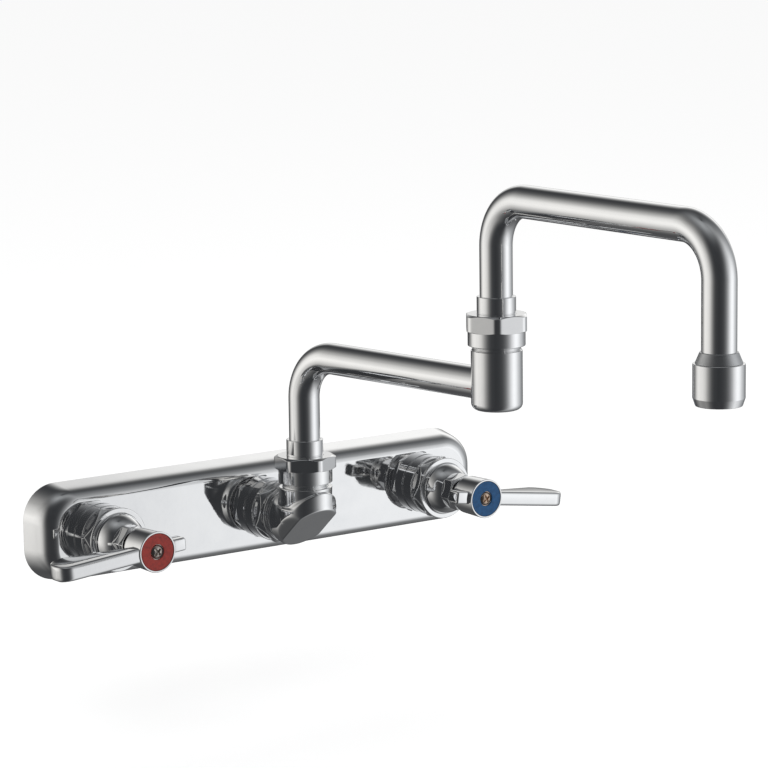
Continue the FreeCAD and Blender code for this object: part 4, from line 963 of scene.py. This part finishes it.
@dataclass
class Elbow:
    """Locknut and cast elbow between the wall body and the first swivel."""

    swivel: Swivel
    nut_turn: float = 20.0
    hexagon: RingedHexagon = field(default_factory=lambda: RingedHexagon(ring_radius=14.9))
    locknut_bore: float = 10.45
    reach: float = 52.2
    neck_radius: float = 13.5
    barrel_radius: float = 15.5
    barrel_end: float = 11.5
    shoulder: float = 2.0
    collar_radius: float = 15.6
    collar_top: float = 7.7
    socket_radius: float = 13.7
    flat_lean: float = 40.0
    flat_distance: float = 5.0
    bevel_distance: float = 11.5
    bevel_angle: float = 46.0

    def locknut(self) -> Surface:
        """Ringed hexagon behind the elbow."""
        bore, end = self.locknut_bore, self.hexagon.ring_end
        profile = rounded([
            *self.hexagon.outline(),
            (bore, end, 0.0),
            (bore, self.hexagon.seat + 0.01, 0.0),
        ])
        cut = self.hexagon.flange_end + 0.015, self.hexagon.chamfer_end - 0.02
        shape = milled(profile, self.hexagon.flats, *cut)
        return Station(facing=Facing.OUT, turn=self.nut_turn).place(shape)

    def distance(self, way: np.ndarray) -> np.ndarray:
        """How far the casting's skin lies from the corner's middle, along each way.

        Formula: every plain form holds the middle, so a ray leaves it at radius / sine of
        the angle to its axis, or at height / cosine.  Forms cut each other by the lesser
        distance and join by the greater, both softened.

        Args:
            way: Unit vectors, one in each cell.

        Returns:
            The distance in each cell.
        """
        x, y, z = way[..., 0], way[..., 1], way[..., 2]
        tiny = 1e-4
        lying = np.sqrt(x ** 2 + z ** 2) + tiny
        standing = np.sqrt(x ** 2 + y ** 2) + tiny
        inward, upward = np.maximum(y, tiny), np.maximum(z, tiny)
        barrel = np.minimum(self.barrel_radius / lying, FAR)
        cone_sum = self.barrel_end + self.barrel_radius
        to_wall = np.minimum(cone_sum / (lying + inward), (self.barrel_end + self.shoulder) / inward)
        round_front = self.collar_radius / standing
        closing = np.where(y > 0, to_wall, round_front)
        barrel = soft_min(barrel, np.minimum(closing, FAR), 0.35)
        neck_end = self.reach - self.hexagon.ring_end
        neck = soft_min(self.neck_radius / lying, np.minimum(neck_end / inward, FAR), 0.08)
        collar = soft_min(self.collar_radius / standing, np.minimum(self.collar_top / upward, FAR), 1.1)
        socket_end = self.swivel.socket_top
        socket = soft_min(self.socket_radius / standing, np.minimum(socket_end / upward, FAR), 0.12)
        neck = np.where(y > 0, neck, 1.0)
        collar, socket = np.where(z > 0, collar, 1.0), np.where(z > 0, socket, 1.0)
        skin = soft_max(soft_max(barrel, neck, 0.25), soft_max(collar, socket, 0.25), 0.3)
        lean, bevel = math.radians(self.flat_lean), math.radians(self.bevel_angle)
        down = -math.sin(lean) * y - math.cos(lean) * z
        skin = soft_min(skin, np.minimum(self.flat_distance / np.maximum(down, tiny), FAR), 0.3)
        for side in (-1, 1):
            slope = down * math.cos(bevel) + side * x * math.sin(bevel)
            skin = soft_min(skin, np.minimum(self.bevel_distance / np.maximum(slope, tiny), FAR), 0.3)
        return skin

    def casting(self) -> Surface:
        """Elbow skin on a globe of rays whose poles are at its two sides."""
        polar = np.linspace(0, math.pi, 221)[:, None]
        round_axis = np.linspace(0, 2 * math.pi, 384, endpoint=False)
        way = np.stack([
            np.cos(polar) + 0 * round_axis,
            np.sin(polar) * np.cos(round_axis),
            np.sin(polar) * np.sin(round_axis),
        ], axis=-1)
        grid = way * self.distance(way)[..., None]
        return Surface(grid + np.array([0.0, -self.reach, 0.0]))

    def stub(self) -> Surface:
        """Threaded end of the socket inside the swivel nut."""
        low = self.swivel.socket_top - 1.0
        outer, bore = self.swivel.thread_radius, self.swivel.bore_radius
        corners = [(outer, low, 0.0), *self.swivel.stub(), (bore, low, 0.0)]
        return Station(y=-self.reach).place(turned(rounded(corners)))

    def pieces(self) -> list[Piece]:
        """The locknut and the elbow."""
        shells = [self.casting(), self.stub()]
        return [
            Piece("elbow_nut_shell", "wall_body", Look.TURNED_CHROME, [self.locknut()], ("elbow_locknut",)),
            Piece("elbow_cast", "wall_body", Look.TURNED_CHROME, shells, ("spout_elbow",)),
        ]


@dataclass
class Spout:
    """The two tubes and the cup between them."""

    swivels: tuple[Swivel, Swivel]
    radius: float = 7.9375
    wall: float = 1.2
    arm_1_height: float = 85.2
    arm_1_reach: float = 138.9
    arm_1_bend: float = 22.5
    arm_2_height: float = 175.4
    arm_2_reach: float = 159.1
    arm_2_bend: float = 23.0
    arm_2_end: float = 112.2
    cup_radius: float = 12.4
    cup_bottom: float = 73.7
    cup_round: float = 3.4
    seat_height: float = 94.0
    well_radius: float = 7.0
    well_bottom: float = 78.0

    def start(self, swivel: Swivel) -> float:
        """Height of the tube's end inside a sleeve."""
        return swivel.nut_top - 1.8

    def first_arm(self) -> Surface:
        """Up from the first swivel and out to the cup."""
        begin = self.start(self.swivels[0])
        runs = [(0.0, begin), (0.0, self.arm_1_height), (9.0 - self.arm_1_reach, self.arm_1_height)]
        tube = swept(bent_path(runs, [self.arm_1_bend]), self.radius, self.wall)
        return self.swivels[0].station.place(tube)

    def second_arm(self) -> Surface:
        """Up from the cup, out, and down to the outlet."""
        begin = self.start(self.swivels[1])
        runs = [
            (0.0, begin),
            (0.0, self.arm_2_height),
            (-self.arm_2_reach, self.arm_2_height),
            (-self.arm_2_reach, self.arm_2_end),
        ]
        tube = swept(bent_path(runs, [self.arm_2_bend] * 2), self.radius, self.wall)
        return self.swivels[1].station.place(tube)

    def cup(self) -> Surface:
        """Closed cup with a rounded bottom and the second swivel's thread."""
        swivel = self.swivels[1]
        profile = rounded([
            (0.0, self.cup_bottom, 0.0),
            (self.cup_radius, self.cup_bottom, self.cup_round),
            (self.cup_radius, swivel.socket_top, 0.35),
            (swivel.thread_radius, swivel.socket_top, 0.0),
            *swivel.stub(),
            (swivel.bore_radius, self.seat_height, 0.0),
            (self.well_radius, self.seat_height, 0.0),
            (self.well_radius, self.well_bottom, 0.0),
            (0.0, self.well_bottom, 0.0),
        ], closed=False, steps=12)
        return swivel.station.place(turned(profile, closed=False))

    def pieces(self) -> list[Piece]:
        """Tubes and cup."""
        return [
            Piece("first_tube", "arm_1", Look.TUBE_CHROME, [self.first_arm()], ("arm_1_tube",)),
            Piece("swivel_cup", "arm_1", Look.TURNED_CHROME, [self.cup()], ("joint_2_body",)),
            Piece("second_tube", "arm_2", Look.TUBE_CHROME, [self.second_arm()], ("arm_2_tube",)),
        ]


@dataclass
class Outlet:
    """Cone and aerator housing at the spout's end."""

    station: Station
    bottom: float = 97.3
    height: float = 18.9
    radius: float = 11.7
    mouth_outer: float = 10.45
    mouth_radius: float = 8.3
    chamfer_height: float = 3.6
    cone_height: float = 5.0
    cone_top_radius: float = 8.6
    cone_radius: float = 10.7
    bore: float = 6.5
    tube_radius: float = 7.97
    tube_depth: float = 4.0
    thread_radius: float = 10.2
    thread_start: float = 10.3
    thread_bore: float = 10.25
    insert_bore: float = 9.2
    step_height: float = 8.1
    lip: float = 1.7

    def cone(self) -> Surface:
        """Cone brazed on the tube, with the thread for the housing."""
        top = self.bottom + self.height
        profile = rounded([
            (self.bore, self.bottom + self.thread_start, 0.1),
            (self.thread_radius, self.bottom + self.thread_start, 0.2),
            (self.thread_radius, top, 0.0),
            (self.cone_radius, top + 0.01, 0.2),
            (self.cone_top_radius, top + self.cone_height, 0.35),
            (self.tube_radius, top + self.cone_height, 0.1),
            (self.tube_radius, top - self.tube_depth, 0.0),
            (self.bore, top - self.tube_depth, 0.0),
        ])
        return self.station.place(turned(profile))

    def housing(self) -> Surface:
        """Round housing with a chamfered mouth."""
        top = self.bottom + self.height
        profile = rounded([
            (self.mouth_radius, self.bottom, 0.3),
            (self.mouth_outer, self.bottom, 0.3),
            (self.radius, self.bottom + self.chamfer_height, 0.5),
            (self.radius, top, 0.4),
            (self.thread_bore, top, 0.2),
            (self.thread_bore, self.bottom + self.step_height, 0.0),
            (self.insert_bore, self.bottom + self.step_height, 0.0),
            (self.insert_bore, self.bottom + self.lip, 0.0),
            (self.mouth_radius, self.bottom + self.lip, 0.2),
        ])
        return self.station.place(turned(profile))

    def pieces(self) -> list[Piece]:
        """Cone and housing."""
        return [
            Piece("outlet_cone", "arm_2", Look.SATIN_CHROME, [self.cone()], ("outlet_adapter",)),
            Piece("outlet_housing", "arm_2", Look.TURNED_CHROME, [self.housing()], ("aerator_housing",)),
        ]


# ------------------------------------------------------------------ finishes

def add_math(tree: bpy.types.NodeTree, operation: str, *values: object) -> bpy.types.NodeSocket:
    """Add a math node whose inputs are sockets or numbers, and give its output."""
    node = tree.nodes.new("ShaderNodeMath")
    node.operation = operation
    for socket, value in zip(node.inputs, values):
        if isinstance(value, (int, float)):
            socket.default_value = value
        else:
            tree.links.new(value, socket)
    return node.outputs[0]


@dataclass(frozen=True)
class Effect:
    """A shader node group of noise that several finishes share."""

    name: str
    fine: float
    detail: float

    def group(self) -> bpy.types.NodeTree:
        """The group: Scale and Contrast in, a Mask from 0 to 1 out.

        Returns:
            The node group, made on first use.
        """
        known = bpy.data.node_groups.get(self.name)
        if known:
            return known
        tree = bpy.data.node_groups.new(self.name, "ShaderNodeTree")
        for label, value in (("Scale", 40.0), ("Contrast", 0.5)):
            socket = tree.interface.new_socket(label, in_out="INPUT", socket_type="NodeSocketFloat")
            socket.default_value = value
        tree.interface.new_socket("Mask", in_out="OUTPUT", socket_type="NodeSocketFloat")
        make, link = tree.nodes.new, tree.links.new
        entry, leave = make("NodeGroupInput"), make("NodeGroupOutput")
        place = make("ShaderNodeTexCoord")
        broad, small = make("ShaderNodeTexNoise"), make("ShaderNodeTexNoise")
        link(entry.outputs["Scale"], broad.inputs["Scale"])
        link(add_math(tree, "MULTIPLY", entry.outputs["Scale"], self.fine), small.inputs["Scale"])
        for noise in (broad, small):
            noise.inputs["Detail"].default_value = self.detail
            link(place.outputs["Object"], noise.inputs["Vector"])
        both = add_math(tree, "MULTIPLY", broad.outputs["Fac"], small.outputs["Fac"])
        gain = add_math(tree, "MULTIPLY", entry.outputs["Contrast"], MASK_GAIN)
        spread = add_math(tree, "MULTIPLY", both, gain)
        spread.node.use_clamp = True
        link(spread, leave.inputs["Mask"])
        return tree


SMUDGE = Effect("soft_smudges", 3.7, 3.0)
GRAIN = Effect("fine_grain", 6.0, 6.0)


@dataclass(frozen=True)
class Finish:
    """One surface finish: two tones, a gloss range and a fine relief."""

    look: Look
    tone: tuple[float, float, float]
    second_tone: tuple[float, float, float]
    roughness: tuple[float, float]
    metallic: float = 0.0
    effect: Effect = SMUDGE
    scale: float = 45.0
    contrast: float = 0.55
    relief_scale: float = 400.0
    relief: float = 0.02
    relief_depth: float = 0.0001
    specular: float = 0.5

    def material(self) -> bpy.types.Material:
        """The material: the effect's mask blends the tones and the gloss; grain lifts it."""
        material = bpy.data.materials.new(self.look.name.lower())
        material.use_nodes = True
        tree = material.node_tree
        make, link = tree.nodes.new, tree.links.new
        shader = tree.nodes["Principled BSDF"]
        shader.inputs["Metallic"].default_value = self.metallic
        shader.inputs["Specular IOR Level"].default_value = self.specular
        mask = make("ShaderNodeGroup")
        mask.node_tree = self.effect.group()
        mask.inputs["Scale"].default_value = self.scale
        mask.inputs["Contrast"].default_value = self.contrast
        blend = make("ShaderNodeMix")
        blend.data_type = "RGBA"
        link(mask.outputs["Mask"], blend.inputs["Factor"])
        colours = [socket for socket in blend.inputs if socket.type == "RGBA"]
        colours[0].default_value = (*self.tone, 1)
        colours[1].default_value = (*self.second_tone, 1)
        link(next(s for s in blend.outputs if s.type == "RGBA"), shader.inputs["Base Color"])
        gloss = make("ShaderNodeMapRange")
        gloss.inputs["To Min"].default_value, gloss.inputs["To Max"].default_value = self.roughness
        link(mask.outputs["Mask"], gloss.inputs["Value"])
        link(gloss.outputs["Result"], shader.inputs["Roughness"])
        height = make("ShaderNodeGroup")
        height.node_tree = GRAIN.group()
        height.inputs["Scale"].default_value = self.relief_scale
        bump = make("ShaderNodeBump")
        bump.inputs["Strength"].default_value = self.relief
        bump.inputs["Distance"].default_value = self.relief_depth
        link(height.outputs["Mask"], bump.inputs["Height"])
        link(bump.outputs["Normal"], shader.inputs["Normal"])
        return material


BRIGHT, SHADE = (0.9, 0.9, 0.9), (0.85, 0.852, 0.86)

FINISHES = (
    Finish(Look.TUBE_CHROME, BRIGHT, SHADE, (0.035, 0.07), 1.0,
           scale=30.0, relief_scale=90.0, relief=0.02),
    Finish(Look.CAST_CHROME, BRIGHT, (0.83, 0.833, 0.84), (0.02, 0.06), 1.0,
           scale=28.0, relief_scale=75.0, relief=0.09),
    Finish(Look.TURNED_CHROME, BRIGHT, SHADE, (0.03, 0.08), 1.0,
           scale=60.0, relief_scale=120.0, relief=0.03),
    Finish(Look.SATIN_CHROME, (0.68, 0.69, 0.7), (0.6, 0.61, 0.62), (0.3, 0.4), 1.0, GRAIN,
           scale=200.0, relief=0.03),
    Finish(Look.BRASS, (0.72, 0.55, 0.27), (0.58, 0.42, 0.19), (0.2, 0.38), 1.0, GRAIN,
           scale=160.0, relief=0.2),
    Finish(Look.SCREW_STEEL, (0.74, 0.68, 0.63), (0.36, 0.31, 0.28), (0.16, 0.34), 1.0, GRAIN,
           scale=300.0, relief=0.1),
    Finish(Look.SCREW_BRASS, (0.86, 0.68, 0.54), (0.5, 0.36, 0.27), (0.14, 0.34), 1.0, GRAIN,
           scale=300.0, relief=0.1),
    Finish(Look.HOT_INDEX, (0.25, 0.024, 0.018), (0.09, 0.016, 0.014), (0.34, 0.5), 0.0, GRAIN,
           scale=500.0, contrast=0.5, relief_scale=900.0, relief=0.15, specular=0.25),
    Finish(Look.COLD_INDEX, (0.01, 0.07, 0.18), (0.006, 0.03, 0.08), (0.34, 0.5), 0.0, GRAIN,
           scale=500.0, contrast=0.5, relief_scale=900.0, relief=0.15, specular=0.25),
    Finish(Look.RUBBER, (0.03, 0.03, 0.03), (0.06, 0.058, 0.055), (0.5, 0.7), 0.0, GRAIN,
           scale=220.0, relief=0.3),
    Finish(Look.FIBRE, (0.3, 0.09, 0.06), (0.2, 0.06, 0.045), (0.6, 0.8), 0.0, GRAIN,
           scale=300.0, relief=0.4),
    Finish(Look.WHITE_PLASTIC, (0.8, 0.8, 0.77), (0.72, 0.72, 0.69), (0.35, 0.5),
           scale=120.0, relief=0.1),
    Finish(Look.CERAMIC, (0.85, 0.84, 0.8), (0.78, 0.77, 0.73), (0.08, 0.16), 0.0, GRAIN,
           scale=200.0, relief=0.05),
)


# ------------------------------------------------------------------ studio

@dataclass(frozen=True)
class Glow:
    """A soft patch of light on the studio's surround.

    Azimuth is measured from straight out of the wall, positive to the right, and the
    spreads are the angles at which the light has fallen to 61 %.  All are in degrees.
    A power above 2 makes the light's edges at its two sides sharper.
    """

    azimuth: float
    elevation: float
    spread: tuple[float, float]
    strength: float
    colour: tuple[float, float, float] = (1.0, 1.0, 1.0)
    power: float = 2.0


@dataclass
class Studio:
    """Camera, lamps, floor and a surround that only polished surfaces see."""

    azimuth: float = -35.81
    elevation: float = 9.72
    roll: float = -0.73
    focal_pixels: float = 3377.2
    eye: tuple[float, float, float] = (-956.5, -1447.57, 358.95)
    sensor: float = 36.0
    floor_height: float = -120.0
    floor_reach: float = 14.0
    floor_tone: float = 0.945
    view_depth: float = 50.0
    cloud_scale: float = 3.2
    cloud_detail: float = 2.0
    surround_radius: float = 4.0
    dark: tuple[float, float, float] = (0.038, 0.040, 0.043)
    unevenness: float = 0.16
    glows: tuple[Glow, ...] = (
        Glow(43.0, -6.0, (21.0, 36.0), 0.98, (0.975, 0.988, 1.0)),
        Glow(82.0, -6.0, (20.0, 34.0), 0.3, (0.94, 0.97, 1.0)),
        Glow(-104.0, -2.0, (16.5, 26.0), 0.6, (1.0, 0.985, 0.95)),
        Glow(-140.0, 3.0, (17.5, 23.0), 0.9, (1.0, 0.985, 0.95)),
        Glow(130.0, 20.0, (23.0, 13.0), 1.04, (1.0, 0.995, 0.98), 4.0),
        Glow(118.0, -55.0, (42.0, 24.0), 0.095),
        Glow(-60.0, 78.0, (90.0, 14.0), 0.3, (0.95, 0.98, 1.0)),
    )

    def camera(self) -> None:
        """Camera at the photograph's viewpoint."""
        side, tilt, roll = (math.radians(a) for a in (self.azimuth, self.elevation, self.roll))
        back = np.array([math.sin(side) * math.cos(tilt), -math.cos(side) * math.cos(tilt), math.sin(tilt)])
        right = np.array([math.cos(side), math.sin(side), 0.0])
        upward = np.cross(back, right)
        turned_right = math.cos(roll) * right + math.sin(roll) * upward
        turned_up = -math.sin(roll) * right + math.cos(roll) * upward
        data = bpy.data.cameras.new("view")
        data.sensor_width = self.sensor
        data.lens = self.focal_pixels / FRAME_WIDTH * self.sensor
        data.clip_end = self.view_depth
        item = bpy.data.objects.new("view", data)
        columns = np.stack([turned_right, turned_up, back, np.array(self.eye) * MM], axis=1)
        item.matrix_world = Matrix([*columns.tolist(), [0, 0, 0, 1]])
        bpy.context.scene.collection.objects.link(item)
        bpy.context.scene.camera = item

    def world(self) -> None:
        """White for the camera, polished and clear surfaces; even pale light otherwise."""
        world = bpy.data.worlds.new("studio")
        world.use_nodes = True
        world.node_tree.nodes["Background"].inputs["Color"].default_value = (1, 1, 1, 1)
        world.node_tree.nodes["Background"].inputs["Strength"].default_value = 1.0
        bpy.context.scene.world = world

    def lamps(self) -> None:
        """Two large soft lamps, kept out of the reflections."""
        rows = (("key", (-1.6, -1.8, 1.6), 1.4, 22.0), ("fill", (1.7, -1.6, 0.7), 1.6, 12.0))
        for name, place, size, power in rows:
            data = bpy.data.lights.new(name, "AREA")
            data.size, data.energy = size, power
            item = bpy.data.objects.new(name, data)
            back = np.array(place) / np.linalg.norm(place)
            right = np.cross([0, 0, 1], back)
            right /= np.linalg.norm(right)
            columns = np.stack([right, np.cross(back, right), back, place], axis=1)
            item.matrix_world = Matrix([*columns.tolist(), [0, 0, 0, 1]])
            item.visible_glossy = False
            bpy.context.scene.collection.objects.link(item)

    def stage_object(self, name: str, grid: np.ndarray, wrap: bool,
                     material: bpy.types.Material) -> bpy.types.Object:
        """Make a stage object from a grid in metres."""
        surface = Surface(grid, wrap_columns=wrap)
        mesh = bpy.data.meshes.new(name)
        mesh.from_pydata(grid.reshape(-1, 3).tolist(), [], surface.faces().tolist())
        mesh.materials.append(material)
        item = bpy.data.objects.new(name, mesh)
        bpy.context.scene.collection.objects.link(item)
        return item

    def floor(self) -> None:
        """Wide pale floor that takes the faucet's shadow."""
        material = bpy.data.materials.new("pale_floor")
        material.use_nodes = True
        shader = material.node_tree.nodes["Principled BSDF"]
        shader.inputs["Base Color"].default_value = (*[self.floor_tone] * 3, 1)
        shader.inputs["Roughness"].default_value = 0.9
        shader.inputs["Specular IOR Level"].default_value = 0.0
        reach = np.linspace(-self.floor_reach, self.floor_reach, 3)
        x, y = np.meshgrid(reach, reach)
        grid = np.stack([x, y, 0 * x + self.floor_height * MM], axis=-1)
        item = self.stage_object("floor", grid, False, material)
        item.visible_glossy = False

    def glow(self, tree: bpy.types.NodeTree, azimuth: bpy.types.NodeSocket,
             elevation: bpy.types.NodeSocket, glow: Glow) -> bpy.types.NodeSocket:
        """Brightness of one glow.

        Formula: strength times exp(-(a to its power + e squared) / 2), where a and e are
        the angles from its middle over its spreads, a's wrapped to half a turn.

        Args:
            tree: Node tree of the surround.
            azimuth, elevation: Sockets of the direction in degrees.
            glow: The glow.

        Returns:
            The socket that holds the brightness.
        """
        off = add_math(tree, "SUBTRACT", azimuth, glow.azimuth)
        across = add_math(tree, "WRAP", off, 180.0, -180.0)
        height = add_math(tree, "SUBTRACT", elevation, glow.elevation)
        raised = []
        for angle, spread, power in zip((across, height), glow.spread, (glow.power, 2.0)):
            share = add_math(tree, "ABSOLUTE", add_math(tree, "DIVIDE", angle, spread))
            raised.append(add_math(tree, "POWER", share, power))
        both = add_math(tree, "ADD", *raised)
        fall = add_math(tree, "EXPONENT", add_math(tree, "MULTIPLY", both, -0.5))
        return add_math(tree, "MULTIPLY", fall, glow.strength)

    def surround(self) -> None:
        """Big globe of dark cloth and soft lights, seen by polished surfaces alone."""
        material = bpy.data.materials.new("studio_surround")
        material.use_nodes = True
        tree = material.node_tree
        tree.nodes.clear()
        make, link = tree.nodes.new, tree.links.new
        place, parts = make("ShaderNodeTexCoord"), make("ShaderNodeSeparateXYZ")
        unit = make("ShaderNodeVectorMath")
        unit.operation = "NORMALIZE"
        link(place.outputs["Object"], unit.inputs[0])
        link(unit.outputs[0], parts.inputs[0])
        outward = add_math(tree, "MULTIPLY", parts.outputs["Y"], -1.0)
        azimuth = add_math(tree, "DEGREES", add_math(tree, "ARCTAN2", parts.outputs["X"], outward))
        elevation = add_math(tree, "DEGREES", add_math(tree, "ARCSINE", parts.outputs["Z"]))
        total = None
        for glow in self.glows:
            tint = make("ShaderNodeVectorMath")
            tint.operation = "SCALE"
            tint.inputs[0].default_value = glow.colour
            link(self.glow(tree, azimuth, elevation, glow), tint.inputs["Scale"])
            plus = make("ShaderNodeVectorMath")
            plus.inputs[1].default_value = self.dark
            if total is not None:
                link(total, plus.inputs[1])
            link(tint.outputs[0], plus.inputs[0])
            total = plus.outputs[0]
        cloud = make("ShaderNodeTexNoise")
        cloud.inputs["Scale"].default_value = self.cloud_scale
        cloud.inputs["Detail"].default_value = self.cloud_detail
        link(unit.outputs[0], cloud.inputs["Vector"])
        swing = 2 * self.unevenness, 1 - self.unevenness
        uneven = add_math(tree, "MULTIPLY_ADD", cloud.outputs["Fac"], *swing)
        glow, leave = make("ShaderNodeEmission"), make("ShaderNodeOutputMaterial")
        link(total, glow.inputs["Color"])
        link(uneven, glow.inputs["Strength"])
        link(glow.outputs[0], leave.inputs["Surface"])
        polar = np.linspace(0.001, math.pi - 0.001, 49)[:, None]
        around = np.linspace(0, 2 * math.pi, 96, endpoint=False)
        way = rings_round(np.sin(polar), np.cos(polar), around)
        item = self.stage_object("surround", way * self.surround_radius, True, material)
        for ray in ("camera", "diffuse", "transmission", "volume_scatter", "shadow"):
            setattr(item, f"visible_{ray}", False)

    def build(self) -> None:
        """Set the stage."""
        self.camera()
        self.world()
        self.lamps()
        self.floor()
        self.surround()
        bpy.context.scene.view_settings.view_transform = "Standard"


# ------------------------------------------------------------------ the whole

def dress_frame(finishes: dict) -> None:
    """Give every node of the frame the finish of its slot.

    Args:
        finishes: Materials by look.
    """
    slots = {part["node"]: part["material_slot"] for part in frame["record"]["subparts"]}
    for name, item in frame["nodes"].items():
        for slot in item.material_slots:
            slot.material = finishes[Look(slots[name])]


def faucet() -> list[Piece]:
    """All pieces that are built over the frame, in order from the wall outwards."""
    reach, arm, turn = Elbow.reach, Spout.arm_1_reach, math.radians(ARM_TURN)
    x, y = arm * math.sin(turn), -reach - arm * math.cos(turn)
    riser = Station(y=-reach, turn=ARM_TURN)
    first = Swivel("joint_1", 17.1, 6.9, 24.0, "wall_body", "arm_1", riser)
    second = Swivel("joint_2", 102.6, 8.4, -6.0, "arm_1", "arm_2", Station(x, y))
    parts = (
        WallBody(),
        Valve("hot", -1, -8.5, 185.0, Look.HOT_INDEX, Look.SCREW_STEEL),
        Valve("cold", 1, 12.5, -8.0, Look.COLD_INDEX, Look.SCREW_BRASS),
        Elbow(first),
        first,
        second,
        Spout((first, second)),
        Outlet(Station(x, y - Spout.arm_2_reach)),
    )
    return [piece for part in parts for piece in part.pieces()]


def main() -> None:
    """Build the studio, dress the frame and add the pieces."""
    logging.basicConfig(level=logging.INFO, format="%(name)s %(message)s")
    Studio().build()
    finishes = {finish.look: finish.material() for finish in FINISHES}
    dress_frame(finishes)
    for piece in faucet():
        piece.build(finishes)


if __name__ == "__main__":
    main()
